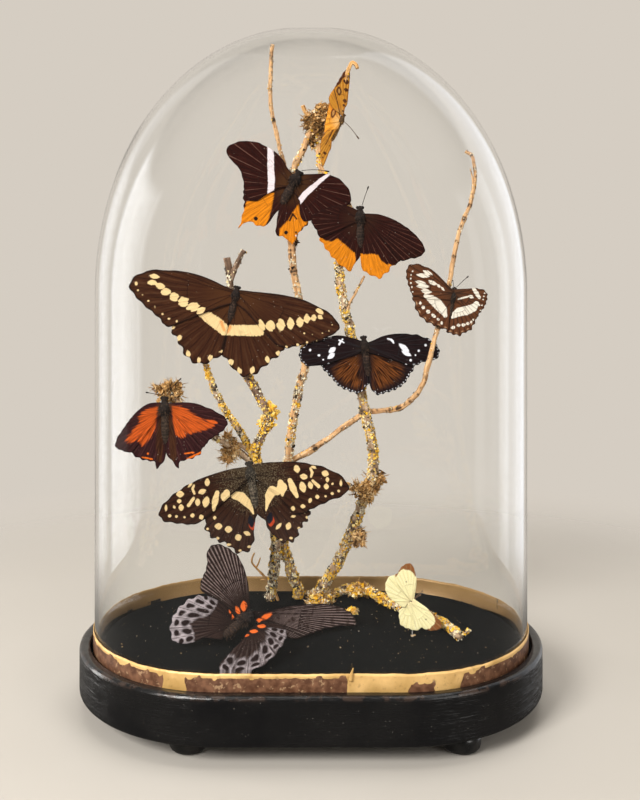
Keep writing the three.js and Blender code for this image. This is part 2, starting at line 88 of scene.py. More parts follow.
def unit(rows: Array) -> Array:
    """Return rows scaled to length 1."""
    return rows / np.maximum(np.linalg.norm(rows, axis=-1, keepdims=True), 1e-9)


def grain(points: Array, size: float, seed: float = 0.0) -> Array:
    """Smooth random height at each point.

    Args:
        points: places in mm.
        size: width of a bump in mm.
        seed: shifts the pattern.

    Returns:
        Values of about -1 to 1.
    """
    shift = Vector((seed * 7.1, seed * 3.7, seed * 5.3))
    return np.array([noise.noise(Vector(p) / size + shift) for p in points]) * 1.6


def spline(points: Array, step: float, closed: bool = False, sharp: tuple[int, ...] = ()) -> Array:
    """Run a smooth line through points and cut it into even steps.

    Args:
        points: control points, one a row.
        step: distance between the points returned.
        closed: joins the last point to the first.
        sharp: indices of control points that stay pointed.

    Returns:
        The points along the line.
    """
    count = len(points)
    slope = (np.roll(points, -1, 0) - np.roll(points, 1, 0)) / 2
    if not closed:
        slope[0], slope[-1] = points[1] - points[0], points[-1] - points[-2]
    for index in sharp:
        slope[index] = 0
    t = np.linspace(0, 1, 12, endpoint=False)[:, None]
    fine = []
    for i in range(count if closed else count - 1):
        j = (i + 1) % count
        fine.append(
            (2 * t**3 - 3 * t**2 + 1) * points[i]
            + (t**3 - 2 * t**2 + t) * slope[i]
            + (3 * t**2 - 2 * t**3) * points[j]
            + (t**3 - t**2) * slope[j]
        )
    fine.append(points[:1] if closed else points[-1:])
    return even_steps(np.vstack(fine), step, closed)


def even_steps(line: Array, step: float, closed: bool) -> Array:
    """Cut a line into even steps; a closed one has its first point again at the end.

    Args:
        line: the points; those of a closed line end with the first one again.
        step: distance between the points returned.
        closed: True for a closed line.

    Returns:
        The points along the line.
    """
    run = np.concatenate([[0], np.cumsum(np.linalg.norm(np.diff(line, axis=0), axis=1))])
    count = max(2, round(run[-1] / step))
    at = np.linspace(0, run[-1], count + 1)[: count if closed else count + 1]
    return np.stack([np.interp(at, run, line[:, k]) for k in range(line.shape[1])], 1)


def to_segments(points: Array, line: Array, widths: Array | None = None) -> Array:
    """Distance from each point to a line of straight runs, less the line's half width.

    Args:
        points: places, one a row.
        line: the corners of the line.
        widths: the line's half width at each corner.

    Returns:
        The distances, negative inside the width.
    """
    near = np.full(len(points), np.inf)
    for i in range(len(line) - 1):
        way = line[i + 1] - line[i]
        share = np.clip((points - line[i]) @ way / max(way @ way, 1e-9), 0, 1)
        gap = np.linalg.norm(points - line[i] - share[:, None] * way, axis=1)
        if widths is not None:
            gap = gap - widths[i] - share * (widths[i + 1] - widths[i])
        near = np.minimum(near, gap)
    return near


def inside(points: Array, loop: Array) -> Array:
    """Tell which points lie inside a closed loop.

    Args:
        points: places, one a row.
        loop: the corners of the loop.

    Returns:
        True for each point inside.
    """
    held = np.zeros(len(points), bool)
    for a, b in zip(loop, np.roll(loop, -1, 0)):
        over = (a[1] > points[:, 1]) != (b[1] > points[:, 1])
        cross = (b[0] - a[0]) * (points[:, 1] - a[1]) / ((b[1] - a[1]) or 1e-9) + a[0]
        held ^= over & (points[:, 0] < cross)
    return held


def patch(points: Array, loop: Array) -> Array:
    """Distance from each point to a closed loop, negative inside it."""
    gap = to_segments(points, np.vstack([loop, loop[:1]]))
    return np.where(inside(points, loop), -gap, gap)


# ---- Materials ----


class Nodes:
    """A node tree, built up node by node."""

    def __init__(self, tree: bpy.types.NodeTree) -> None:
        """Work in a tree."""
        self.tree = tree

    def node(self, kind: str, **settings: object) -> bpy.types.Node:
        """Add a node and set its properties.

        Args:
            kind: Blender's name for the node.
            settings: the properties.

        Returns:
            The node.
        """
        made = self.tree.nodes.new(kind)
        for key, value in settings.items():
            setattr(made, key, value)
        return made

    def join(self, source: object, target: Socket) -> None:
        """Feed a socket.

        Args:
            source: another socket, a number or a colour.
            target: the socket fed.
        """
        if isinstance(source, Socket):
            self.tree.links.new(source, target)
        elif isinstance(source, tuple) and target.type == "RGBA":
            target.default_value = (*source, 1)
        else:
            target.default_value = source

    def maths(self, operation: str, *values: object) -> Socket:
        """Do one sum.

        Args:
            operation: Blender's name for the sum.
            values: its numbers.

        Returns:
            The answer.
        """
        made = self.node("ShaderNodeMath", operation=operation)
        for value, target in zip(values, made.inputs):
            self.join(value, target)
        return made.outputs[0]

    def times(self, a: object, b: object) -> Socket:
        """Multiply two numbers."""
        return self.maths("MULTIPLY", a, b)

    def plus(self, a: object, b: object) -> Socket:
        """Add two numbers."""
        return self.maths("ADD", a, b)

    def less(self, a: object, b: object) -> Socket:
        """Take b from a."""
        return self.maths("SUBTRACT", a, b)

    def step(self, value: object, low: float, high: float) -> Socket:
        """Step smoothly from 0 at low to 1 at high.

        Args:
            value: the number.
            low: where the step starts; it may be above high.
            high: where it ends.

        Returns:
            The share.
        """
        made = self.node("ShaderNodeMapRange", interpolation_type="SMOOTHSTEP")
        swap = low > high
        self.join(value, made.inputs["Value"])
        made.inputs["From Min"].default_value = min(low, high)
        made.inputs["From Max"].default_value = max(low, high)
        made.inputs["To Min"].default_value = float(swap)
        made.inputs["To Max"].default_value = float(not swap)
        return made.outputs["Result"]

    def mix(self, share: object, a: object, b: object) -> Socket:
        """Mix two colours.

        Args:
            share: how much of the second one.
            a: the first colour.
            b: the second colour.

        Returns:
            The mixed colour.
        """
        made = self.node("ShaderNodeMix", data_type="RGBA")
        for value, index in ((share, 0), (a, 6), (b, 7)):
            self.join(value, made.inputs[index])
        return made.outputs[2]


class Paint(Nodes):
    """One node material, built up layer by layer."""

    def __init__(self, name: str) -> None:
        """Start with one main shader and nothing else."""
        self.material = bpy.data.materials.new(name)
        self.material.use_nodes = True
        super().__init__(self.material.node_tree)
        self.tree.nodes.clear()
        self.output = self.node("ShaderNodeOutputMaterial")
        self.shader = self.node("ShaderNodeBsdfPrincipled")
        self.join(self.shader.outputs[0], self.output.inputs[0])
        self.space = self.node("ShaderNodeTexCoord").outputs["Object"]

    def attribute(self, name: str) -> Socket:
        """Read one number that the mesh carries."""
        return self.node("ShaderNodeAttribute", attribute_name=name).outputs["Fac"]

    def stretched(self, across: Point) -> Socket:
        """Scale the object's own space along its axes.

        Args:
            across: the scale along each axis.

        Returns:
            The scaled space.
        """
        scaled = self.node("ShaderNodeVectorMath", operation="MULTIPLY")
        self.join(self.space, scaled.inputs[0])
        scaled.inputs[1].default_value = across
        return scaled.outputs[0]

    def bundle(self, x: object, y: object, z: object = 0.0) -> Socket:
        """Make a vector of three numbers.

        Args:
            x: the first number.
            y: the second number.
            z: the third number.

        Returns:
            The vector.
        """
        made = self.node("ShaderNodeCombineXYZ")
        for source, target in zip((x, y, z), made.inputs):
            self.join(source, target)
        return made.outputs[0]

    def clouds(self, scale: float, detail: float = 3.0, space: object = None) -> Socket:
        """Cloudy noise from 0 to 1.

        Args:
            scale: clouds in a metre.
            detail: how many finer layers.
            space: where the noise is read.

        Returns:
            The noise.
        """
        made = self.node("ShaderNodeTexNoise")
        self.join(space or self.space, made.inputs["Vector"])
        made.inputs["Scale"].default_value = scale
        made.inputs["Detail"].default_value = detail
        return made.outputs["Fac"]

    def cells(self, scale: float, space: object = None) -> Socket:
        """Distance to the middle of the nearest cell.

        Args:
            scale: cells in a metre.
            space: where the cells are read.

        Returns:
            The distance.
        """
        made = self.node("ShaderNodeTexVoronoi")
        self.join(space or self.space, made.inputs["Vector"])
        made.inputs["Scale"].default_value = scale
        return made.outputs["Distance"]

    def tones(self, value: object, stops: tuple[tuple[float, Colour], ...]) -> Socket:
        """Turn a number into one of a run of colours.

        Args:
            value: the number.
            stops: the places of the colours, and the colours.

        Returns:
            The colour.
        """
        made = self.node("ShaderNodeValToRGB")
        ramp = made.color_ramp
        while len(ramp.elements) < len(stops):
            ramp.elements.new(0.5)
        for element, (place, colour) in zip(ramp.elements, stops):
            element.position = place
            element.color = (*colour, 1)
        self.join(value, made.inputs[0])
        return made.outputs[0]

    def clear_where(self, share: object) -> None:
        """Let light straight through a share of the surface.

        Args:
            share: 0 keeps the whole finish, 1 none of it.
        """
        clear = self.node("ShaderNodeBsdfTransparent")
        either = self.node("ShaderNodeMixShader")
        for source, target in zip((share, self.shader.outputs[0], clear.outputs[0]), either.inputs):
            self.join(source, target)
        self.join(either.outputs[0], self.output.inputs[0])

    def coat(self, colour: object, roughness: object, **fixed: object) -> None:
        """Set the main shader's colour, roughness and other plain values.

        Args:
            colour: the colour.
            roughness: the roughness.
            fixed: values of other sockets, with _ for a space.
        """
        self.join(colour, self.shader.inputs["Base Color"])
        self.join(roughness, self.shader.inputs["Roughness"])
        for key, value in fixed.items():
            self.join(value, self.shader.inputs[key.replace("_", " ")])

    def relief(self, height: object, depth: float, strength: float = 1.0) -> None:
        """Dent the surface by a height map, depth in mm.

        Args:
            height: the height map.
            depth: its depth in mm.
            strength: how much of it shows.
        """
        made = self.node("ShaderNodeBump")
        made.inputs["Strength"].default_value = strength
        made.inputs["Distance"].default_value = depth * MM
        self.join(height, made.inputs["Height"])
        self.join(made.outputs[0], self.shader.inputs["Normal"])


@dataclass(frozen=True)
class EbonisedWood:
    """Black semi-gloss paint over wood, rubbed at the edges and dusty."""

    name: str = "ebonised_wood"
    black: Colour = (0.0032, 0.0032, 0.0037)
    rubbed: Colour = (0.038, 0.024, 0.018)

    def material(self) -> Material:
        """Build the finish.

        Returns:
            The material.
        """
        paint = Paint(self.name)
        brush = paint.clouds(1.0, 4, paint.stretched((60, 60, 1500)))
        blotch = paint.clouds(45, 3)
        wear = paint.times(paint.attribute("wear"), paint.step(paint.clouds(160, 8), 0.47, 0.60))
        dust = paint.step(paint.cells(420), 0.12, 0.05)
        speck = paint.times(dust, paint.step(paint.clouds(90, 2), 0.5, 0.62))
        colour = paint.mix(paint.step(blotch, 0.3, 0.7), self.black, (0.0065, 0.0062, 0.0062))
        colour = paint.mix(wear, colour, self.rubbed)
        colour = paint.mix(paint.times(speck, 0.4), colour, (0.30, 0.28, 0.25))
        rough = paint.node("ShaderNodeMapRange")
        paint.join(paint.plus(brush, blotch), rough.inputs["Value"])
        rough.inputs["From Max"].default_value = 2.0
        rough.inputs["To Min"].default_value = 0.10
        rough.inputs["To Max"].default_value = 0.40
        paint.coat(colour, rough.outputs[0], Specular_IOR_Level=0.5)
        dents = paint.clouds(1.0, 5, paint.stretched((70, 70, 230)))
        paint.relief(paint.plus(brush, paint.times(dents, 2.0)), 0.34, 0.8)
        return paint.material


@dataclass(frozen=True)
class FootLacquer:
    """Glossy black lacquer of the bun feet."""

    name: str = "foot_lacquer"

    def material(self) -> Material:
        """Build the finish.

        Returns:
            The material.
        """
        paint = Paint(self.name)
        blotch = paint.clouds(120, 4)
        colour = paint.mix(paint.step(blotch, 0.4, 0.7), (0.006, 0.006, 0.006), (0.02, 0.018, 0.016))
        paint.coat(colour, paint.step(blotch, -0.6, 2.2), Coat_Weight=0.4, Coat_Roughness=0.15)
        paint.relief(paint.clouds(300, 3), 0.06, 0.4)
        return paint.material


@dataclass(frozen=True)
class BlackBoard:
    """Matt charcoal board with dust, scuffs and one darker oval patch."""

    name: str = "black_board"

    def material(self) -> Material:
        """Build the finish.

        Returns:
            The material.
        """
        paint = Paint(self.name)
        cloud = paint.clouds(30, 5)
        speck = paint.step(paint.cells(300), 0.10, 0.03)
        speck = paint.times(speck, paint.step(paint.clouds(120, 2), 0.48, 0.6))
        # a darker oval patch on the board, which darkens the colour there
        dark_oval = paint.times(paint.attribute("dark_oval"), 0.6)
        colour = paint.mix(paint.step(cloud, 0.3, 0.7), (0.0042, 0.0047, 0.0049), (0.0068, 0.0074, 0.0076))
        colour = paint.mix(dark_oval, colour, (0.003, 0.003, 0.003))
        colour = paint.mix(paint.step(paint.clouds(1400, 2), 0.6, 0.8), colour, (0.016, 0.016, 0.015))
        colour = paint.mix(paint.times(speck, 0.55), colour, (0.3, 0.28, 0.25))
        paint.coat(colour, paint.step(cloud, -1.2, 1.3), Specular_IOR_Level=0.025)
        paint.relief(paint.clouds(900, 4), 0.08, 0.6)
        return paint.material


@dataclass(frozen=True)
class ClearGlass:
    """Thin clear glass that lets the light in the room reach what it covers."""

    name: str = "dome_glass"

    def material(self) -> Material:
        """Build the finish.

        Returns:
            The material.
        """
        paint = Paint(self.name)
        smear = paint.clouds(1.0, 3, paint.stretched((26, 26, 4)))
        tint = paint.mix(smear, (0.985, 0.99, 0.985), (0.995, 0.995, 0.99))
        paint.coat(tint, 0.0, IOR=1.47, Transmission_Weight=1.0)
        path = paint.node("ShaderNodeLightPath").outputs
        paint.clear_where(paint.maths("MAXIMUM", path["Is Shadow Ray"], path["Is Diffuse Ray"]))
        return paint.material


@dataclass(frozen=True)
class GiltPaper:
    """Gold paper, torn through to brown on the outside."""

    name: str = "gilt_paper"
    gold: Colour = (0.60, 0.36, 0.115)
    pale_gold: Colour = (0.90, 0.58, 0.23)
    brown: Colour = (0.12, 0.050, 0.026)

    def material(self) -> Material:
        """Build the finish.

        Returns:
            The material.
        """
        paint = Paint(self.name)
        cloud = paint.clouds(70, 5)
        fine = paint.clouds(420, 6)
        torn = paint.step(paint.plus(paint.attribute("torn"), paint.times(fine, 0.5)), 0.70, 0.84)
        colour = paint.mix(paint.step(cloud, 0.3, 0.72), self.gold, self.pale_gold)
        colour = paint.mix(paint.times(paint.step(fine, 0.56, 0.72), 0.4), colour, (0.36, 0.19, 0.06))
        bare = paint.mix(paint.step(paint.clouds(260, 5), 0.35, 0.7), self.brown, (0.27, 0.13, 0.07))
        bare = paint.mix(paint.step(fine, 0.60, 0.66), bare, (0.44, 0.27, 0.15))
        colour = paint.mix(paint.times(paint.attribute("inner"), 0.85), colour, (0.235, 0.130, 0.042))
        colour = paint.mix(torn, colour, bare)
        chips = paint.step(paint.plus(paint.attribute("chipped"), paint.times(fine, 0.6)), 0.86, 0.94)
        colour = paint.mix(chips, colour, (0.02, 0.017, 0.014))
        paint.coat(colour, paint.step(cloud, -0.7, 1.9), Metallic=0.25)
        paint.relief(paint.less(paint.clouds(500, 4), torn), 0.12, 0.7)
        return paint.material


@dataclass(frozen=True)
class Crust:
    """Bark, lichen or moss whose pieces each carry their own tint."""

    name: str
    tones: tuple[tuple[float, Colour], ...]
    fleck: Colour = (0.02, 0.015, 0.012)
    fleck_share: float = 0.35
    streaky: bool = False

    def material(self) -> Material:
        """Build the finish.

        Returns:
            The material.
        """
        paint = Paint(self.name)
        space = paint.stretched((1, 1, 0.35)) if self.streaky else None
        cloud = paint.clouds(700, 5, space)
        tint = paint.plus(paint.attribute("tint"), paint.times(paint.less(cloud, 0.5), 0.5))
        colour = paint.tones(tint, self.tones)
        dark = paint.step(paint.clouds(420, 6), 0.56, 0.66)
        colour = paint.mix(paint.times(dark, self.fleck_share), colour, self.fleck)
        paint.coat(colour, paint.step(cloud, -2.5, 1.2), Specular_IOR_Level=0.25)
        paint.relief(paint.clouds(1300, 4), 0.25, 0.8)
        return paint.material


@dataclass(frozen=True)
class Ink:
    """One marking colour on a wing."""

    colour: Colour
    soft: float = 0.22
    ragged: float = 0.5
    streaked: float = 0.0
    grow: float = 0.0


@dataclass(frozen=True)
class WingFinish:
    """Scales on a wing: a ground, the root, the rim, the veins, streaks between them and markings."""

    name: str
    ground: Colour
    deep: Colour
    root: Colour
    root_reach: float
    rim: Colour
    rim_wide: float
    vein: Colour
    streak: Colour
    streak_at: float = 1.0
    streak_half: float = 0.2
    streak_share: float = 0.3
    inks: tuple[Ink, ...] = ()
    stipple: float = 0.0
    vein_on_ink: float = 0.16

    def material(self) -> Material:
        """Build the finish.

        Returns:
            The material.
        """
        paint = Paint(self.name)
        reach, ray, turn = (paint.attribute(key) for key in ("reach", "ray", "turn"))
        lane = paint.maths("ABSOLUTE", paint.less(paint.maths("FRACT", turn), 0.5))
        vein, edge = paint.attribute("vein"), paint.attribute("edge")
        fan = paint.bundle(paint.times(ray, 26.0), paint.times(reach, 0.12))
        combed = paint.clouds(1.0, 4, fan)
        scales = paint.clouds(2600, 2)
        mottle = paint.clouds(260, 5)
        colour = paint.mix(paint.step(combed, 0.38, 0.66), self.ground, self.deep)
        colour = paint.mix(paint.step(reach, self.root_reach, self.root_reach * 0.25), colour, self.root)
        away = paint.maths("ABSOLUTE", paint.less(1.0 - self.streak_at, paint.times(lane, 2.0)))
        comb = paint.step(away, self.streak_half, self.streak_half * 0.35)
        patchy = paint.clouds(1.0, 4, paint.bundle(paint.times(ray, 9.0), paint.times(reach, 0.35)))
        comb = paint.times(comb, paint.step(patchy, 0.25, 0.55))
        comb = paint.times(comb, paint.step(reach, self.root_reach * 0.6, self.root_reach * 1.6))
        comb = paint.times(comb, paint.times(paint.attribute("streaks"), self.streak_share))
        colour = paint.mix(comb, colour, self.streak)
        rim = paint.step(
            paint.plus(edge, paint.times(paint.less(combed, 0.5), 1.4)), self.rim_wide, self.rim_wide * 0.2,
        )
        colour = paint.mix(rim, colour, self.rim)
        if self.stipple:
            rows = paint.cells(1.0, paint.bundle(paint.times(ray, 27.0), paint.times(reach, 1.25)))
            dots = paint.times(
                paint.step(rows, 0.42, 0.24), paint.step(reach, self.stipple, self.stipple * 0.55),
            )
            colour = paint.mix(paint.times(dots, 0.6), colour, (0.30, 0.235, 0.14))
        colour = paint.mix(paint.times(paint.step(vein, 0.4, 0.12), 0.75), colour, self.vein)
        for letter, ink in zip("abc", self.inks):
            wobble = paint.times(paint.less(combed, 0.5), ink.ragged * 2)
            depth = paint.plus(paint.attribute(f"ink_{letter}"), wobble)
            share = paint.step(depth, ink.grow + ink.soft, ink.grow - ink.soft)
            shade = paint.mix(
                paint.step(combed, 0.38, 0.62), ink.colour, tuple(c * (1 - ink.streaked) for c in ink.colour),
            )
            colour = paint.mix(share, colour, shade)
        colour = paint.mix(paint.times(paint.step(vein, 0.34, 0.1), self.vein_on_ink), colour, self.vein)
        colour = paint.mix(
            paint.times(paint.step(mottle, 0.6, 0.78), 0.25), colour, tuple(c * 0.45 for c in self.ground),
        )
        lost = paint.times(paint.step(paint.cells(420), 0.11, 0.06), paint.step(mottle, 0.46, 0.6))
        colour = paint.mix(paint.times(lost, 0.6), colour, (0.55, 0.45, 0.38))
        paint.coat(colour, paint.step(scales, -1.6, 1.1), Specular_IOR_Level=0.07)
        height = paint.plus(paint.times(scales, 0.35), paint.step(vein, 0.5, 0.0))
        paint.relief(height, 0.18, 0.7)
        return paint.material


@dataclass(frozen=True)
class Fluff:
    """Hair and horn of an insect's body."""

    name: str
    dark: Colour
    light: Colour
    rough: float = 0.8

    def material(self) -> Material:
        """Build the finish.

        Returns:
            The material.
        """
        paint = Paint(self.name)
        cloud = paint.clouds(900, 4)
        tint = paint.plus(paint.attribute("tint"), paint.less(cloud, 0.5))
        colour = paint.mix(paint.step(tint, 0.2, 0.85), self.dark, self.light)
        paint.coat(colour, paint.step(cloud, -self.rough * 3, 1.2), Specular_IOR_Level=0.3)
        paint.relief(paint.clouds(2200, 3), 0.12, 0.6)
        return paint.material


# ---- Meshes ----


def add_piece(
    name: str,
    points: Array,
    faces: list,
    material: Material,
    nodes: tuple[str, ...] = (),
    values: dict[str, Array] | None = None,
    smooth: bool = True,
) -> Object:
    """Make one piece of the object.

    Args:
        name: the piece's name.
        points: places in mm, one a row.
        faces: point indices of each face.
        material: the finish.
        nodes: CAD nodes that the piece stands for.
        values: numbers that the points carry for the finish.
        smooth: shades the piece smooth.

    Returns:
        The piece.
    """
    mesh = bpy.data.meshes.new(name)
    mesh.from_pydata((np.asarray(points, float) * MM).tolist(), [], [tuple(map(int, f)) for f in faces])
    for key, numbers in (values or {}).items():
        layer = mesh.attributes.new(key, "FLOAT", "POINT")
        layer.data.foreach_set("value", np.asarray(numbers, np.float32))
    mesh.polygons.foreach_set("use_smooth", [smooth] * len(mesh.polygons))
    mesh.materials.append(material)
    mesh.update()
    piece = bpy.data.objects.new(name, mesh)
    bpy.context.scene.collection.objects.link(piece)
    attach(piece, "root")
    if nodes:
        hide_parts(*nodes)
    LOG.info("%s: %d points", name, len(points))
    return piece


class Heap:
    """Many small closed shapes that are one piece."""

    def __init__(self) -> None:
        """Start empty."""
        self.points: list[Array] = []
        self.faces: Faces = []
        self.tints: list[Array] = []
        self.count = 0

    def add(self, points: Array, faces: Array | list, tint: Array | float) -> None:
        """Put in one more batch of shapes.

        Args:
            points: places in mm.
            faces: point indices of each face.
            tint: one tint, or one for each point.
        """
        self.points.append(points)
        self.faces.extend(tuple(int(i) + self.count for i in face) for face in faces)
        self.tints.append(np.broadcast_to(tint, (len(points),)).astype(float))
        self.count += len(points)

    def piece(
        self, name: str, material: Material, slot: str, nodes: tuple[str, ...] = (), smooth: bool = True,
    ) -> Object:
        """Turn what was put in into a piece."""
        values = {"tint": np.concatenate(self.tints)}
        return add_piece(name, np.vstack(self.points), self.faces, material, nodes, values, smooth)


def circle(count: int) -> Array:
    """Angles evenly round a circle."""
    return np.arange(count) / count * math.tau


def lofted(rings: list[Array], start: Point | Array, end: Point | Array | None = None) -> Skin:
    """Join rings of points into one skin.

    Args:
        rings: the rings, each with as many points.
        start: the point that closes the first ring.
        end: the point that closes the last ring; without it the skin is open there.

    Returns:
        Points and faces.
    """
    sides = len(rings[0])
    last = (len(rings) - 1) * sides
    close = last + sides
    faces: Faces = []
    for low in range(0, last, sides):
        for i in range(sides):
            j = (i + 1) % sides
            faces.append((low + i, low + j, low + sides + j, low + sides + i))
    for i in range(sides):
        j = (i + 1) % sides
        faces.append((close, j, i))
        if end is not None:
            faces.append((close + 1, last + i, last + j))
    return np.vstack([*rings, [start] if end is None else [start, end]]), faces


def side_ways(line: Array) -> Pair:
    """Two directions across a line at each of its points, without twist.

    Args:
        line: the points of the line.

    Returns:
        The two directions at each point.
    """
    ways = unit(np.gradient(line, axis=0))
    across = np.zeros_like(line)
    first = np.cross(ways[0], (0.0, 0.0, 1.0))
    if np.linalg.norm(first) < 0.1:
        first = np.cross(ways[0], (1.0, 0.0, 0.0))
    across[0] = unit(first)
    for i in range(1, len(line)):
        flat = across[i - 1] - ways[i] * (across[i - 1] @ ways[i])
        across[i] = unit(flat)
    return across, np.cross(ways, across)


def tube(line: Array, radii: Array, sides: int) -> Skin:
    """A closed tube along a line.

    Args:
        line: the middle line.
        radii: the radius at each point, or at each point and side.
        sides: points round the tube.

    Returns:
        Points and faces.
    """
    across, up = side_ways(line)
    turn = circle(sides)
    radii = np.broadcast_to(np.asarray(radii).reshape(len(line), -1), (len(line), sides))
    rings = (
        line[:, None]
        + across[:, None] * (radii * np.cos(turn))[..., None]
        + up[:, None] * (radii * np.sin(turn))[..., None]
    )
    return lofted(list(rings), line[0], line[-1])


def ball(centre: Array, radius: float, rings: int = 8, sides: int = 12) -> Skin:
    """Make a closed round bead.

    Args:
        centre: its middle.
        radius: its radius.
        rings: rings from end to end.
        sides: points in a ring.

    Returns:
        Points and faces.
    """
    lift, turn = (np.arange(rings) + 0.5) / rings * math.pi, circle(sides)
    x, y = np.outer(np.sin(lift), np.cos(turn)), np.outer(np.sin(lift), np.sin(turn))
    z = np.repeat(-np.cos(lift)[:, None], sides, 1)
    points, faces = lofted(list(np.stack([x, y, z], -1)), (0, 0, -1), (0, 0, 1))
    return points * radius + centre, faces


def cross_ways(ways: Array) -> Pair:
    """Find two directions square to each way.

    Args:
        ways: the ways, one a row.

    Returns:
        The two directions of each way.
    """
    helper = np.where(np.abs(ways[:, 2:]) < 0.8, (0.0, 0.0, 1.0), (1.0, 0.0, 0.0))
    across = unit(np.cross(ways, helper))
    return across, np.cross(ways, across)


def clear_board(points: Array, gap: float = 0.1) -> None:
    """Raise points that would sink into the floor board."""
    points[:, 2] = np.maximum(points[:, 2], BOARD_TOP + gap)


def flakes(centres: Array, normals: Array, sizes: Array, rng: Chance, curl: float) -> Pair:
    """Small scabs that stand on a surface.

    Args:
        centres: the foot of each flake.
        normals: the way each flake faces.
        sizes: the radius of each flake.
        rng: the source of chance.
        curl: how far the rims lift, as a share of the radius.

    Returns:
        Points and triangles, 8 points and 12 triangles a flake.
    """
    count = len(centres)
    across, up = cross_ways(normals)
    turn = circle(6) + rng.uniform(0, 1, (count, 1))
    size = sizes[:, None] * rng.uniform(0.55, 1.35, (count, 6))
    rise = sizes[:, None] * (0.1 + curl * rng.uniform(0, 1, (count, 6)))
    rim = (
        centres[:, None]
        + across[:, None] * (size * np.cos(turn))[..., None]
        + up[:, None] * (size * np.sin(turn))[..., None]
        + normals[:, None] * rise[..., None]
    )
    top = centres + normals * (sizes * rng.uniform(0.15, 0.5, count))[:, None]
    foot = centres - normals * (sizes * 0.45)[:, None]
    points = np.concatenate([rim, top[:, None], foot[:, None]], 1).reshape(-1, 3)
    one = [(i, (i + 1) % 6, 6) for i in range(6)] + [((i + 1) % 6, i, 7) for i in range(6)]
    faces = np.arange(count)[:, None, None] * FLAKE_POINTS + np.array(one)[None]
    return points, faces.reshape(-1, 3)


def strands(starts: Array, ways: Array, lengths: Array, width: float, bend: Array, steps: int = 4) -> Pair:
    """Thin tapered hairs or moss shoots.

    Args:
        starts: where each begins.
        ways: the direction each sets off in.
        lengths: how long each is.
        width: radius at the foot.
        bend: how each one's tip is carried away, in mm.
        steps: rings along each.

    Returns:
        Points and triangles.
    """
    count = len(starts)
    across, up = cross_ways(ways)
    share = np.linspace(0, 1, steps)[None, :, None]
    middle = starts[:, None] + ways[:, None] * lengths[:, None, None] * share + bend[:, None] * share**2
    turn = circle(3)
    thick = width * (1 - 0.85 * share)
    ring = (
        across[:, None, None] * np.cos(turn)[None, None, :, None]
        + up[:, None, None] * np.sin(turn)[None, None, :, None]
    )
    points = (middle[:, :, None] + ring * thick[..., None]).reshape(-1, 3)
    one = []
    for r in range(steps - 1):
        for i in range(3):
            a, b = r * 3 + i, r * 3 + (i + 1) % 3
            one += [(a, b, b + 3), (a, b + 3, a + 3)]
    top = (steps - 1) * 3
    one += [(0, 2, 1), (top, top + 1, top + 2)]
    faces = np.arange(count)[:, None, None] * steps * 3 + np.array(one)[None]
    return points, faces.reshape(-1, 3)


def random_ways(rng: Chance, count: int) -> Array:
    """Random directions."""
    return unit(rng.normal(size=(count, 3)))


# ---- Stand and dome ----


class OvalPlan:
    """An oval of two straight sides and two round ends, cut into even steps."""

    def __init__(self, count: int) -> None:
        """Lay the steps out once, so that ovals of any radius line up.

        Args:
            count: how many steps.
        """
        middle_radius = 80.0
        arc, straight = math.pi * middle_radius, 2 * OVAL_STRAIGHT
        run = (np.arange(count) + 0.5) / count * 2 * (arc + straight)
        legs = np.cumsum([0, arc, straight, arc, straight])
        shares = [np.clip((run - legs[k]) / (legs[k + 1] - legs[k]), 0, 1) for k in range(4)]
        angle = -math.pi / 2 + math.pi * shares[0] + math.pi * shares[2]
        self.count = count
        self.centre = OVAL_STRAIGHT - straight * shares[1] + straight * shares[3]
        self.cos, self.sin = np.cos(angle), np.sin(angle)

    def ring(
        self, radius: float | Array, z: float | Array, scale_x: float = 1.0, scale_y: float = 1.0,
    ) -> Array:
        """Points round the oval at a height.

        Args:
            radius: radius of the round ends.
            z: the height.
            scale_x: draws the oval in from its sides.
            scale_y: draws it in from front and back.

        Returns:
            The points.
        """
        x = (self.centre + radius * self.cos) * scale_x
        y = radius * self.sin * scale_y
        return np.stack([x, y, np.broadcast_to(z, x.shape)], 1)


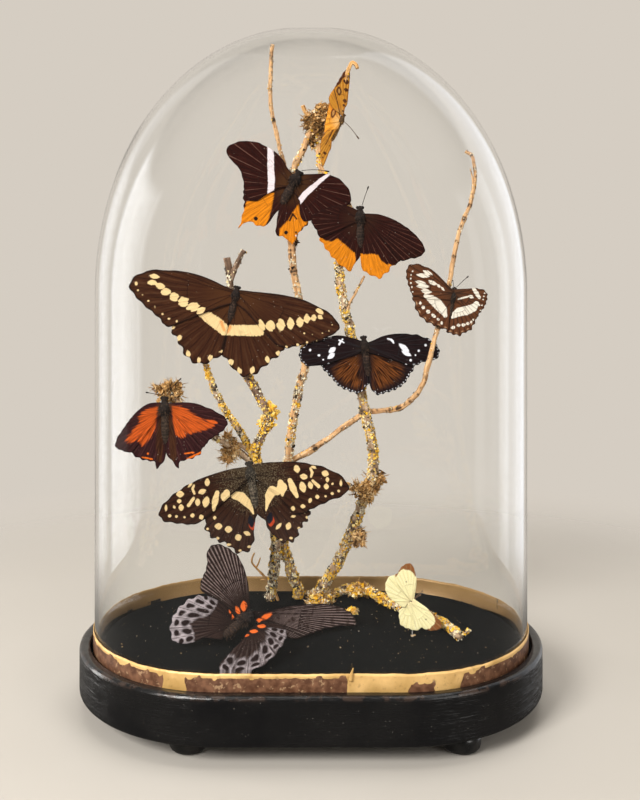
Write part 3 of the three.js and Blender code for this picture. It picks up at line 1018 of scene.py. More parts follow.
@dataclass
class Stand:
    """The plinth, its floor board and four bun feet."""

    plinth_radius: float = 84.4
    recess_radius: float = 78.7
    board_radius: float = 71.8
    bottom: float = 10.0
    top: float = BOARD_TOP
    recess: float = 29.0
    edge_round: float = 2.4
    foot_radius: float = 10.0
    sole_radius: float = 6.5
    feet: tuple[tuple[str, float, float], ...] = (
        ("foot_front_left", -61, -62),
        ("foot_front_right", 75, -62),
        ("foot_back_left", -61, 62),
        ("foot_back_right", 75, 62),
    )

    def build(self) -> None:
        """Build and dress every piece of the stand."""
        self.plinth()
        self.board()
        lacquer = FootLacquer().material()
        for name, x, y in self.feet:
            self.foot(name, x, y, lacquer)
        self.crumbs()

    def plinth(self) -> None:
        """Turned and moulded oval base with a recess in its top."""
        plan = OvalPlan(420)
        e, outer = self.edge_round, self.plinth_radius
        profile = [(outer - e, self.bottom)]
        profile += [
            (outer - e + e * math.sin(t), self.bottom + e - e * math.cos(t))
            for t in np.linspace(0.3, math.pi / 2, 5)
        ]
        profile += [(outer, z) for z in np.linspace(self.bottom + e + 2, self.top - e - 1, 7)]
        profile += [
            (outer - e + e * math.cos(t), self.top - e + e * math.sin(t))
            for t in np.linspace(0, math.pi / 2, 8)
        ]
        profile += [
            (self.recess_radius + 0.5, self.top), (self.recess_radius, self.top - 0.5),
            (self.recess_radius, self.recess),
        ]
        rings = []
        for radius, z in profile:
            ring = plan.ring(radius, z)
            if abs(radius - outer) < e and z > self.bottom + e:
                ring[:, :2] *= 1 + 0.0005 * grain(ring, 9.0, 2)[:, None]
            rings.append(ring)
        points, faces = lofted(rings, (0, 0, self.bottom), (0, 0, self.recess))
        edge = np.hypot(
            np.array([p[0] for p in profile]) - (outer - 0.8),
            np.array([p[1] for p in profile]) - (self.top - 0.8),
        )
        wear = np.repeat(1 - fade(edge, 0.3, 2.2), plan.count)
        front = fade(-points[:-2, 1], 20, 70)
        wear = np.append(wear * (0.35 + 0.65 * front), [0, 0])
        add_piece(
            "plinth_turned", points, faces, EbonisedWood().material(), ("plinth",),
            {"wear": wear},
        )

    def board(self) -> None:
        """Oval floor board with a slightly waved top."""
        plan = OvalPlan(240)
        radius, low = self.board_radius, self.recess + 0.3
        rings = [
            plan.ring(radius, low), plan.ring(radius, self.top - 0.6),
            plan.ring(radius - 0.2, self.top - 0.15), plan.ring(radius - 0.7, self.top),
        ]
        for share in np.linspace(0.96, 0.04, 24):
            ring = plan.ring((radius - 0.7) * share, self.top)
            ring[:, 0] = ring[:, 0] - plan.centre + plan.centre * share
            ring[:, 2] += 0.05 * grain(ring, 14.0, 5)
            rings.append(ring)
        points, faces = lofted(rings, (0, 0, low), (0, 0, self.top))
        # a darker oval patch on the board, below the right trunk
        dark_oval = 1 - fade(np.hypot((points[:, 0] - 31) / 15, (points[:, 1] - 16) / 9), 0.6, 1.1)
        add_piece(
            "floor_board_painted", points, faces, BlackBoard().material(), ("floor_board",),
            {"dark_oval": dark_oval},
        )

    def foot(self, name: str, x: float, y: float, lacquer: Material) -> None:
        """One turned bun foot.

        Args:
            name: the foot's CAD node.
            x: its middle, left to right.
            y: its middle, front to back.
            lacquer: the finish.
        """
        sides, height, wide, sole = 48, 9.7, self.foot_radius, self.sole_radius
        lift = np.linspace(-1, 1, 18)
        swell = np.sqrt(np.clip(1 - np.abs(lift) ** 2.6, 0, 1))
        radii = sole + (wide - sole) * swell
        z = height * (lift + 1) / 2
        turn = circle(sides)
        rings = [
            np.stack([x + r * np.cos(turn), y + r * np.sin(turn), np.full(sides, h)], 1)
            for r, h in zip(radii, z)
        ]
        points, faces = lofted(rings, (x, y, 0), (x, y, height))
        add_piece(f"{name}_turned", points, faces, lacquer, (name,))

    def crumbs(self) -> None:
        """Dust, wing scales, bits of bark and gold flakes that lie on the board."""
        rng = np.random.default_rng(31)
        count = 230
        turn, away = rng.uniform(0, math.tau, count), np.sqrt(rng.uniform(0, 1, count)) * 68
        x = away * np.cos(turn) + np.sign(np.cos(turn)) * rng.uniform(0, OVAL_STRAIGHT, count)
        spots = np.stack([x, away * np.sin(turn), np.full(count, self.top + 0.08)], 1)
        sizes = rng.uniform(0.12, 0.34, count)
        tints = rng.uniform(0.45, 1.0, count)
        named = [
            (-103.0, -18.0, 0.7, 0.7), (-102.0, -22.0, 0.6, 0.75), (-1.5, -22.0, 0.9, 0.35),
            (27.0, 1.0, 0.6, 0.9), (16.0, -23.0, 0.5, 0.8), (56.8, -6.5, 1.1, 0.9), (57.9, -5.2, 0.8, 0.8),
        ]
        spots = np.vstack([spots, [(a, b, self.top + 0.15) for a, b, _, _ in named]])
        sizes = np.append(sizes, [s for _, _, s, _ in named])
        tints = np.append(tints, [t for _, _, _, t in named])
        normals = unit(rng.normal(size=(len(spots), 3)) * 0.35 + (0, 0, 1))
        points, faces = flakes(spots, normals, sizes, rng, 0.5)
        clear_board(points, 0.06)
        heap = Heap()
        heap.add(points, faces, np.repeat(tints, FLAKE_POINTS))
        dust = Crust(
            "floor_dust",
            (
                (0.0, (0.03, 0.02, 0.015)), (0.45, (0.22, 0.16, 0.10)), (0.75, (0.62, 0.40, 0.16)),
                (1.0, (0.62, 0.55, 0.45)),
            ),
            fleck_share=0.0,
        )
        heap.piece("floor_crumbs", dust.material(), "lichen_bark")


@dataclass
class Dome:
    """The blown glass cover and the gilt paper band glued round its foot."""

    radius: float = 76.3
    wall: float = 1.9
    foot: float = 29.3
    spring: float = 226.0
    side_spring: float = 279.0
    apex: float = 374.0
    power: float = 2.1
    band_low: float = 31.0
    band_high: float = 43.0
    band_out: float = 0.75

    def narrowing(self, z: float, spring: float, apex: float) -> float:
        """How far the oval has drawn in at a height, 1 at the spring and 0 at the apex."""
        rise = max(0.0, (z - spring) / (apex - spring))
        return max(0.0, 1 - rise**2) ** (1 / self.power)

    def skin(self, plan: OvalPlan, inset: float) -> list[Array]:
        """Rings of one face of the glass, from the foot up.

        Args:
            plan: the oval.
            inset: how far in from the outer face it lies.

        Returns:
            The rings.
        """
        radius, apex = self.radius - inset, self.apex - inset
        heights = list(np.linspace(self.foot, self.spring, 14))
        heights += [
            self.spring + (apex - self.spring) * math.sin(t) for t in np.linspace(0, math.pi / 2, 64)[1:-1]
        ]
        rings = []
        for z in heights:
            ring = plan.ring(
                radius, z, self.narrowing(z, self.spring, apex), self.narrowing(z, self.side_spring, apex),
            )
            ring[:, :2] *= 1 + 0.00035 * grain(ring * (1, 1, 0.25), 26.0, 3 + inset)[:, None]
            rings.append(ring)
        return rings

    def build(self) -> Object:
        """Build the glass and its band, and hand back the glass.

        Returns:
            The glass.
        """
        plan = OvalPlan(256)
        outer, inner = self.skin(plan, 0.0), self.skin(plan, self.wall)
        rings = [*reversed(inner), *outer]
        points, faces = lofted(rings, (0, 0, self.apex - self.wall), (0, 0, self.apex))
        glass = add_piece(
            "glass_dome_blown", points, faces, ClearGlass().material(), ("glass_dome",),
        )
        self.band()
        return glass

    def band(self) -> None:
        """The paper band, torn outside and clean inside."""
        plan = OvalPlan(900)
        inside, outside = self.radius + 0.3, self.radius + self.band_out
        base = plan.ring(outside, 0)
        frill = grain(base, 2.2, 8) * 0.12 + grain(base, 9.0, 9) * 0.22
        foot = grain(base, 4.0, 14) * 0.25
        steps = np.linspace(0, 1, 9)
        low, high = self.band_low + foot, self.band_high + frill
        outer = [
            plan.ring(outside + 0.08 * grain(base + (0, 0, 40 * s), 3.0, 4), low + (high - low) * s)
            for s in steps
        ]
        inner = [plan.ring(inside, low + (high - low) * s) for s in steps[::-1]]
        rings = [*outer, *inner, outer[0]]
        points = np.vstack(rings[:-1])
        n = len(rings) - 1
        faces = []
        for r in range(n):
            a, b = r * plan.count, ((r + 1) % n) * plan.count
            for i in range(plan.count):
                j = (i + 1) % plan.count
                faces.append((a + i, a + j, b + j, b + i))
        outer_count = n // 2 * plan.count
        torn, chipped = self.wear(points, outer_count)
        add_piece(
            "gilt_band_paper", points, faces, GiltPaper().material(), ("gilt_band",),
            {"torn": torn, "chipped": chipped, "inner": np.arange(len(points)) >= outer_count},
        )
        self.shred()

    def wear(self, points: Array, outer_count: int) -> Pair:
        """Where the paper is torn outside and chipped inside.

        Args:
            points: the band's points.
            outer_count: how many of them are on the outside.

        Returns:
            The torn and the chipped share at each point.
        """
        x, z = points[:, 0], points[:, 2]
        wave = grain(points, 7.0, 11)
        ragged = grain(points * (1, 1, 2), 2.6, 12)
        ceiling = 41.0 + 1.1 * wave + 0.6 * ragged
        torn = fade(ceiling - z, -0.4, 0.6)
        gold = np.maximum(
            1 - fade(np.abs(x + 67) - 6 - wave, -1, 1), 1 - fade(np.abs(x - 47) - 28 - 2 * wave, -1.5, 1.5),
        )
        low_rags = (1 - fade(np.abs(x - 54) - 6 - 2 * ragged, -1, 1)) * fade(38.4 + ragged - z, -0.4, 0.5)
        torn = np.maximum(torn * (1 - gold), low_rags)
        behind = points[:, 1] > 0
        torn = np.where(behind, torn * fade(wave, 0.0, 0.5), torn)
        chipped = 0.75 * fade(36.4 - z, -0.6, 0.9) * fade(
            grain(points, 11.0, 15) + 0.5 * grain(points, 3.0, 17), 0.45, 0.9,
        )
        seam = 1 - fade(np.abs(points[:, 0] - 113.0), 0.2, 0.6)
        chipped = np.maximum(chipped, 0.6 * seam * (points[:, 1] > 0))
        outside = np.arange(len(points)) < outer_count
        return np.where(outside, torn, 0.0), np.where(outside, 0.0, chipped)

    def shred(self) -> None:
        """One torn shred of paper that sticks up at the front."""
        line = spline(np.array([(19.0, -77.6, 40.0), (19.6, -78.0, 43.6), (20.4, -78.3, 46.4)]), 0.5)
        radii = np.interp(np.linspace(0, 1, len(line)), [0, 0.5, 1], [1.1, 0.8, 0.25])
        points, faces = tube(line, radii, 8)
        points[:, 1] = line[:, 1].mean() + (points[:, 1] - line[:, 1].mean()) * 0.4
        add_piece(
            "gilt_band_shred", points, faces, GiltPaper(name="torn_shred").material(), (),
            {
                "torn": np.full(len(points), 0.25), "chipped": np.zeros(len(points)),
                "inner": np.zeros(len(points)),
            },
        )


# ---- Branchwork ----


class Bark(Enum):
    """The barks of the twigs."""

    GREY = "grey"
    TAN = "tan"
    DRY = "dry"
    DARK = "dark"


BARKS: dict[Bark, Crust] = {
    Bark.GREY: Crust(
        "grey_bark",
        (
            (0.0, (0.05, 0.032, 0.02)), (0.4, (0.36, 0.235, 0.14)), (0.7, (0.60, 0.43, 0.28)),
            (1.0, (0.84, 0.72, 0.55)),
        ),
        fleck_share=0.8, streaky=True,
    ),
    Bark.TAN: Crust(
        "tan_bark",
        (
            (0.0, (0.05, 0.03, 0.018)), (0.3, (0.46, 0.25, 0.115)), (0.7, (0.74, 0.46, 0.23)),
            (1.0, (0.90, 0.68, 0.42)),
        ),
        fleck_share=0.7, streaky=True,
    ),
    Bark.DRY: Crust(
        "dry_bark", ((0.0, (0.26, 0.12, 0.04)), (0.5, (0.66, 0.36, 0.13)), (1.0, (0.86, 0.58, 0.28))),
        fleck_share=0.25, streaky=True,
    ),
    Bark.DARK: Crust(
        "dark_bark", ((0.0, (0.03, 0.02, 0.014)), (0.5, (0.19, 0.115, 0.075)), (1.0, (0.50, 0.34, 0.23))),
        fleck_share=0.5, streaky=True,
    ),
}
LICHEN = Crust(
    "lichen",
    (
        (0.0, (0.010, 0.008, 0.007)), (0.15, (0.045, 0.030, 0.018)), (0.24, (0.40, 0.33, 0.23)),
        (0.45, (0.93, 0.86, 0.68)), (0.58, (0.92, 0.72, 0.27)), (0.78, (0.92, 0.55, 0.03)),
        (1.0, (0.58, 0.28, 0.015)),
    ),
    fleck_share=0.22,
)
MOSS = Crust(
    "moss",
    (
        (0.0, (0.035, 0.018, 0.008)), (0.35, (0.28, 0.14, 0.042)), (0.7, (0.68, 0.41, 0.15)),
        (1.0, (0.95, 0.76, 0.46)),
    ),
    fleck_share=0.3,
)


@dataclass(frozen=True)
class Twig:
    """One length of twig with its crust.

    The crust is how many flakes there are for a mm of length, and yellow their share of gold lichen.
    Join is where it grows out of another twig, and part_of the CAD node it belongs to.
    """

    name: str
    route: tuple[Point, ...]
    butt: float
    tip: float
    bark: Bark = Bark.GREY
    crust: float = 6.0
    yellow: float = 0.3
    in_cad: bool = True
    knots: float = 0.12
    join: tuple[Point, ...] = ()
    part_of: str = ""
    flake: float = 0.66
    bare_top: float = 0.0

    def build(self, seed: int, barks: dict[Bark, Material], lichen: Material) -> None:
        """Build the twig and the lichen on it.

        Args:
            seed: sets the chance.
            barks: the material of each bark.
            lichen: the material of the crust.
        """
        line = spline(np.array(self.join + self.route, float), TWIG_STEP)
        length = np.linspace(0, 1, len(line))
        sides = 14 if self.butt > 1 else 8
        radii = self.butt + (self.tip - self.butt) * length
        wave = np.stack([grain(line + k * 5.3, 6.0, seed) for k in range(3)], 1)
        line = line + wave * 0.16 * self.butt
        turn = circle(sides)
        around = np.repeat(length[:, None] * 40 * (len(line) * TWIG_STEP / 100), sides, 1)
        ribs = grain(
            np.stack(
                [
                    np.cos(turn)[None].repeat(len(line), 0) * 1.5,
                    np.sin(turn)[None].repeat(len(line), 0) * 1.5, around * 0.25,
                ],
                -1,
            ).reshape(-1, 3),
            0.9, seed,
        )
        bumps = 1 + self.knots * ribs.reshape(len(line), sides)
        collars = 1 + 0.16 * fade(grain(line, 3.4, seed + 3), 0.35, 0.8)
        points, faces = tube(line, radii[:, None] * bumps * collars[:, None], sides)
        if self.in_cad:
            clear_board(points, 0.15)
        tint = np.append(0.5 + 0.3 * ribs - 0.35 * np.repeat(fade(collars, 1.08, 1.16), sides), [0.6, 0.6])
        nodes = (self.part_of or self.name,) if self.in_cad else ()
        add_piece(f"{self.name}_wood", points, faces, barks[self.bark], nodes, {"tint": tint})
        if self.crust:
            self.lichen(points[: len(line) * sides].reshape(len(line), sides, 3), line, seed, lichen)

    def lichen(self, skin: Array, line: Array, seed: int, material: Material) -> None:
        """Scatter crust flakes over the bark in drifts.

        Args:
            skin: points of the bark, by place along and round it.
            line: the middle line.
            seed: sets the chance.
            material: the material of the crust.
        """
        rng = np.random.default_rng(seed)
        count = int(self.crust * 1.7 * len(line) * TWIG_STEP)
        at, side = rng.integers(0, len(line), count), rng.integers(0, skin.shape[1], count)
        places = skin[at, side]
        normals = unit(places - line[at])
        drift = grain(places, 5.0, seed + 1)
        covered = fade((len(line) - at) * TWIG_STEP, self.bare_top * 0.6, self.bare_top + 0.01)
        keep = drift + rng.uniform(-0.8, 1.0, count) > 0.7 - 0.8 * covered
        places, normals, covered = places[keep], normals[keep], covered[keep]
        count = len(places)
        golden = np.clip(self.yellow + 0.7 * grain(places, 6.0, seed + 2), 0, 1) * covered
        gold = rng.uniform(0, 1, count) < golden
        # dark flakes in drifts: partly dark lichen, partly painted shade for the shadowed gaps in the crust
        dark = grain(places, 2.4, seed + 5) > 0.28
        pale = np.where(dark, rng.uniform(0.0, 0.26, count), rng.uniform(0.26, 0.54, count))
        tint = np.where(gold, rng.uniform(0.56, 0.92, count), pale)
        sizes = rng.uniform(0.4, 1.3, count) * self.flake * np.where(gold, 1.15, 1.0)
        normals = unit(normals + rng.normal(size=(count, 3)) * 0.45)
        points, faces = flakes(places + normals * 0.12, normals, sizes, rng, 0.8)
        clear_board(points)
        heap = Heap()
        heap.add(points, faces, np.repeat(tint, FLAKE_POINTS))
        heap.piece(f"{self.name}_lichen", material, "lichen_bark", (), False)


TWIGS = (
    Twig(
        "left_stem",
        (
            (-25.6, 54, 36), (-24.4, 50, 45), (-22.9, 42, 57.5), (-20.9, 32, 78), (-23.2, 26, 97.5),
            (-27.6, 21, 114.5), (-31.4, 17.5, 128.5),
        ),
        2.7, 2.5, crust=16, yellow=0.12,
    ),
    Twig(
        "left_stem_top",
        (
            (-32, 15.8, 132), (-31.3, 14, 139), (-27.5, 12, 146.5), (-24, 11, 154.5), (-27, 10, 162),
            (-32, 9, 171), (-36, 8.5, 178.5), (-40, 8.8, 193.5), (-44, 9, 211), (-45.9, 8.8, 224),
            (-46.3, 7.5, 236.5), (-48, 6, 246.5),
        ),
        2.3, 2, Bark.DARK, crust=8, yellow=0.62, knots=0.25, join=((-31.3, 17.8, 127.5),), bare_top=32,
    ),
    Twig(
        "lichen_twig",
        (
            (-36.4, 17, 136), (-39, 16, 142.5), (-44, 14, 150.5), (-49, 13, 157.5), (-54, 11.5, 167),
            (-57.5, 10, 175), (-61, 8, 187), (-62.5, 7, 193.5),
        ),
        1.7, 1.2, crust=16, yellow=0.7, join=((-31.4, 18, 128.5), (-34, 17.6, 132.5)),
    ),
    Twig(
        "side_branch",
        ((-37.2, 17.5, 130), (-44, 13.5, 136.5), (-56, 9, 144.5), (-68, 6.5, 156), (-80, 4.2, 169.5)), 1.9,
        1.5, crust=2.5, yellow=0.1, knots=0.25, join=((-31, 18, 126.5),),
    ),
    Twig(
        "middle_stem",
        (
            (-7.2, 54, 36.5), (-9.6, 50, 47), (-12.5, 46, 57), (-15.5, 42, 67.5), (-17.3, 38, 77),
            (-18, 32, 93), (-16, 26, 112.5), (-13.8, 22, 124.5),
        ),
        2.8, 2.3, crust=17, yellow=0.6,
    ),
    Twig(
        "middle_stem_top",
        (
            (-13, 19.6, 131), (-11.7, 17, 146), (-10, 15, 154.5), (-7.3, 12.5, 170), (-3.8, 11, 182),
            (-3.5, 10, 196), (-5.2, 9.5, 212), (-7, 8.5, 224.5), (-9, 7.5, 234), (-10.8, 5.5, 248),
            (-11.4, 4, 262), (-11.3, 3.5, 275), (-10.8, 3, 287), (-9, 3, 299), (-7.6, 3, 302),
        ),
        2.2, 1.9, Bark.TAN, crust=11, yellow=0.12, join=((-14.2, 21.8, 124.5),), bare_top=128,
    ),
    Twig(
        "middle_stem_crown", ((-8.6, 3, 300), (-4.6, 3, 307), (-2, 3, 314), (0.5, 4, 321)), 1.8, 1.5,
        Bark.TAN, crust=1.5, yellow=0.3, part_of="middle_stem_top",
    ),
    Twig(
        "right_trunk",
        (
            (1.5, 54, 36.5), (6, 51, 42.5), (11, 48, 51), (16, 45, 60), (20, 42, 69.5), (26.8, 36, 88),
            (31, 31, 102), (36, 26.5, 117), (37, 23.5, 128), (34.8, 20, 143.5), (31.2, 18, 157),
            (29.8, 17, 167), (27, 15.5, 184.5), (23.3, 14, 202), (21, 13, 211),
        ),
        2.9, 2.3, crust=16, yellow=0.45,
    ),
    Twig(
        "right_stem_top",
        (
            (19.6, 12.3, 216.5), (17, 10.5, 230.5), (16.1, 9, 243), (19.5, 7.8, 254), (23, 7, 265),
            (21, 6.5, 277), (14.2, 6, 287), (7, 5, 295), (4.8, 5, 302), (4.2, 5, 311), (2.6, 5, 319),
            (-1, 5.2, 324.5), (1.3, 5.4, 329.5), (6.3, 5.2, 330), (10.4, 5, 326), (13.2, 5, 320.5),
        ),
        2.1, 1.3, Bark.TAN, crust=5, yellow=0.35, join=((21, 13, 210),),
    ),
    Twig(
        "right_stem_bark",
        ((20.6, 13, 211.5), (19.6, 12.3, 216.5), (17, 10.5, 230.5), (16.1, 9, 243), (17.5, 8.4, 248.5)), 2.25,
        2, crust=17, yellow=0.42, part_of="right_stem_top",
    ),
    Twig(
        "cross_branch",
        (
            (-9, 22.6, 128.5), (6.6, 25, 137.5), (19.4, 25.6, 147), (28.8, 24.6, 153.3), (35, 23, 156),
            (44, 17, 158.3), (51.2, 11, 160.2), (57, 7, 165), (62, 4.5, 171.5), (65, 2.5, 179),
            (67.2, 2, 188), (69, 2, 196), (72.6, 3, 206.5), (76, 4, 219.5), (79, 5, 232), (80.5, 5, 241),
            (84, 5, 258.5), (88, 5, 269.5), (91.4, 4.5, 279), (93.2, 4, 288), (93.8, 3.5, 297),
            (92, 3, 304.5), (88.2, 3, 307.3),
        ),
        1.8, 1, Bark.TAN, crust=2.6, yellow=0.0, knots=0.2, join=((-13.8, 22.2, 125.5),), flake=0.36,
    ),
    Twig(
        "top_twig",
        (
            (-14.6, 2, 296), (-16.8, 1, 305), (-21, -1, 322.5), (-22.8, -2, 334.5), (-22.5, -3, 355.5),
            (-21.6, -4, 366),
        ),
        1.1, 1.05, Bark.TAN, crust=3.0, yellow=0.0, knots=0.22, join=((-11.2, 3, 288.5),), flake=0.34,
    ),
    Twig(
        "fallen_branch",
        (
            (16, 58, 38), (23, 60, 40.5), (31, 57, 41.5), (38.5, 52, 40), (46, 43.5, 38.5), (52, 34, 37.8),
            (61.5, 25.5, 37.6), (73, 12, 37.6), (80, -3, 37.7), (81.5, -14, 37.8),
        ),
        2, 2.2, crust=17, yellow=0.6,
    ),
    Twig(
        "dry_twig",
        (
            (-20.6, 52, 35.6), (-24.4, 49, 46), (-30.1, 45, 54.1), (-35.2, 41, 61.2), (-35.6, 39, 65),
            (-34.1, 38, 68.8),
        ),
        0.9, 0.5, Bark.DRY, 0, 0, False,
    ),
    Twig(
        "dry_twig_prong", ((-33.4, 42.4, 58.6), (-31.8, 41, 62), (-30.7, 39, 65.6)), 0.6, 0.35, Bark.DRY, 0,
        0, False,
    ),
    Twig(
        "dry_twig_stub", ((-27, 47.3, 49.5), (-29.5, 46.5, 50.3), (-31, 46, 50)), 0.5, 0.3, Bark.DRY, 0, 0,
        False,
    ),
    Twig(
        "stem_fork", ((-46.2, 8, 233), (-43.6, 7, 240.2), (-40.6, 7, 246), (-38.1, 7, 250.7)), 1.6, 1.35,
        Bark.DARK, 1.5, 0, False, 0.4,
    ),
    Twig(
        "thin_shoot", ((20.6, 12.2, 214), (22.1, 9, 220.1), (26.5, 7, 228.4), (30.5, 5, 236.1)), 0.9, 0.6,
        Bark.TAN, 1, 0.1, False,
    ),
    Twig(
        "cross_shoot", ((92.4, 4, 286), (92.2, 3.6, 291.8), (90.9, 3, 297.4)), 0.6, 0.3, Bark.TAN, 0, 0,
        False,
    ),
    Twig(
        "top_spike", ((0.5, 4, 325.6), (-2.6, 2, 328.5), (-4.6, 1, 332.6)), 1.3, 1, Bark.DRY, 2, 0, False,
        0.4, flake=0.5,
    ),
    Twig(
        "top_hook",
        (
            (10.2, 4, 330), (15.5, 4.5, 340), (20.5, 4.5, 351), (21.8, 4, 354.6), (23.2, 3.5, 357.6),
            (25.3, 3.2, 356.3), (26.2, 3, 353.9),
        ),
        1.1, 1, Bark.DRY, 1.5, 0, False, 0.5, flake=0.5,
    ),
    Twig(
        "broken_splinter", ((-35, 17, 133), (-43, 14, 139.5), (-50.3, 13, 142.1)), 1.4, 0.5, Bark.GREY, 1, 0,
        False, 0.25,
    ),
    Twig(
        "fallen_fork", ((81, -12, 38.5), (84.5, -13.5, 39.2), (87.1, -14, 41.6)), 1, 0.5, Bark.GREY, 4, 0.1,
        False,
    ),
)


@dataclass(frozen=True)
class MossClump:
    """A tuft of frayed moss or curled lichen held on a twig."""

    name: str
    at: Point
    spread: Point
    shoots: int
    length: float
    curls: int = 0
    lift: Point = (0, 0, 0)
    tint: float = 0.5
    leaf_tints: Spot = (0.15, 0.95)
    golden: bool = False

    def build(self, seed: int, moss: Material, lichen: Material) -> None:
        """Build the shoots, and the curled leaves of lichen among them.

        Args:
            seed: sets the chance.
            moss: the material of the shoots.
            lichen: the material of golden leaves.
        """
        rng = np.random.default_rng(seed)
        count, middle = self.shoots * 2, np.array(self.at)
        lobes = middle + random_ways(rng, 13) * np.array(self.spread) * rng.uniform(0.1, 0.85, (13, 1))
        lobe = lobes[rng.integers(0, 13, count)]
        roots = lobe + rng.normal(size=(count, 3)) * np.array(self.spread) * 0.11
        out = unit(
            unit(roots - lobe)
            + unit(roots - middle) * 0.35
            + rng.normal(size=(count, 3)) * 0.5
            + np.array(self.lift)
        )
        lengths = self.length * rng.uniform(0.15, 0.55, count)
        bend = random_ways(rng, count) * lengths[:, None] * 1.1
        heap = Heap()
        points, faces = strands(roots, out, lengths, 0.48, bend, 5)
        shade = np.clip(self.tint + 0.35 * grain(roots, 2.6, seed) + rng.normal(0, 0.16, count), 0, 1)
        heap.add(points, faces, np.repeat(shade, 15))
        tips = roots + out * lengths[:, None] * rng.uniform(0.3, 0.9, (count, 1)) + bend * 0.3
        small, faces = strands(tips, unit(out + random_ways(rng, count)), lengths * 0.45, 0.34, bend * 0.3, 3)
        heap.add(small, faces, np.repeat(np.clip(shade + 0.1, 0, 1), 9))
        for cloud in heap.points:
            clear_board(cloud)
        heap.piece(f"{self.name}_moss", moss, "lichen_bark")
        if self.curls:
            spots = lobes[rng.integers(0, 13, self.curls)]
            places = spots + rng.normal(size=(self.curls, 3)) * np.array(self.spread) * 0.14
            clear_board(places, 0.6)
            leaves = Heap()
            points, faces = flakes(
                places, random_ways(rng, self.curls), rng.uniform(0.6, 1.7, self.curls), rng, 1.5,
            )
            clear_board(points)
            leaves.add(points, faces, np.repeat(rng.uniform(*self.leaf_tints, self.curls), FLAKE_POINTS))
            leaves.piece(f"{self.name}_leaves", lichen if self.golden else moss, "lichen_bark", (), False)


CLUMPS = (
    MossClump("trunk_clump", (33.2, 26, 110.6), (12, 8, 11), 520, 5.2, 520),
    MossClump("trunk_tuft", (29.4, 33, 80.5), (6, 5, 6.5), 170, 4.2, 160, (0.6, 0, -0.2)),
    MossClump("perch_clump", (-80.6, 5.5, 168.3), (9.5, 6, 7.5), 420, 5, 360, (0, 0, 0.4), 0.55, (0.2, 0.9)),
    MossClump("broken_clump", (-45.5, 14, 136), (8, 4, 11), 300, 6, 260, (-0.5, 0, -0.2), 0.62, (0.3, 0.95)),
    MossClump("crown_clump", (1.6, 4.5, 322), (9.5, 6, 12), 260, 5, 430, (0, 0, -0.2), 0.35, (0, 0.85)),
    MossClump("crown_spray", (8.6, 4, 329.5), (6.5, 4, 5.5), 120, 4.6, 170, (0.3, 0, 0.2), 0.45, (0.1, 0.95)),
    MossClump("fork_clump", (-24.5, 11, 153), (6.5, 3, 9), 30, 3, 360, (0.3, 0, 0), 0.6, (0.55, 0.9), True),
    MossClump(
        "stem_foot_clump", (3.7, 50, 38), (15, 9, 4), 330, 5, 320, (0, 0, 0.3), 0.5, (0.35, 0.95), True,
    ),
    MossClump("fallen_clump", (31, 56, 40.5), (12, 5, 4.5), 330, 5, 330, (0, 0, 0.2), 0.5, (0.45, 1), True),
    MossClump(
        "fallen_bend_clump", (47, 42, 38.5), (9, 6, 3), 180, 4.5, 200, (0, 0, 0.2), 0.5, (0.4, 1), True,
    ),
    MossClump(
        "star_lichen", (25.4, 30, 36.2), (3, 2.6, 0.8), 50, 3.6, 60, (0, 0, 0.1), 0.75, (0.55, 0.85), True,
    ),
    MossClump("mid_knot", (-9.5, 5.5, 258), (1.6, 1.6, 7), 60, 3, 60, (0, 0, 0), 0.3, (0, 0.6)),
)


@dataclass
class Branchwork:
    """The twigs that carry the butterflies, with their moss, and the setting pin."""

    pin_route: tuple[Point, ...] = ((56.6, -6, 35.5), (57.2, -3, 42), (57.2, -1.2, 48), (56.9, -1.2, 55))

    def build(self) -> None:
        """Build every twig, clump and the pin."""
        barks = {kind: crust.material() for kind, crust in BARKS.items()}
        lichen, moss = LICHEN.material(), MOSS.material()
        for seed, twig in enumerate(TWIGS, 100):
            twig.build(seed, barks, lichen)
        for seed, clump in enumerate(CLUMPS, 300):
            clump.build(seed, moss, lichen)
        line = spline(np.array(self.pin_route), 0.6)
        points, faces = tube(line, np.full(len(line), 0.32), 10)
        steel = Fluff("pin_steel", (0.16, 0.15, 0.14), (0.42, 0.40, 0.37), 0.3)
        add_piece(
            "setting_pin", points, faces, steel.material(), ("pale_butterfly_pin",),
            {"tint": np.full(len(points), 0.6)},
        )


# ---- Butterflies ----


class Half(Enum):
    """Which part of a CAD wing plate a wing is, by the way it lies from the notch line."""

    WHOLE = (0.0, 0.0)
    UPPER = (0.0, 1.0)
    LOWER = (0.0, -1.0)
    RIGHT = (1.0, 0.0)
    LEFT = (-1.0, 0.0)


@dataclass(frozen=True)
class Row:
    """A row of spots between the veins, a set way in from the outer margin."""

    depth: float
    across: float
    along: float
    pairs: bool = False


@dataclass(frozen=True)
class Rim:
    """A band along the outer margin."""

    wide: float


@dataclass(frozen=True)
class WingPlan:
    """One wing: the CAD plate it is cut from and what is drawn on it, in mm from the thorax.

    A mark is an oval (x, z, half width, half height, turn), a band of (x, z, half width) or a patch of (x, z).
    An oval without its last numbers isn't turned, and one without its half height is as high as it is wide.
    """

    name: str
    plate: str = ""
    half: Half = Half.WHOLE
    notch: Spot = (0.0, 0.0)
    veins: int = 8
    scallop: float = 0.35
    tips: tuple[Spot, ...] = ()
    lying: bool = False
    grip: float = 0.0
    streaks: float = 1.0
    outline: tuple[Spot, ...] = ()
    plane: Point = (0.0, 0.0, 0.0)
    inks: dict[str, tuple] = field(default_factory=dict)


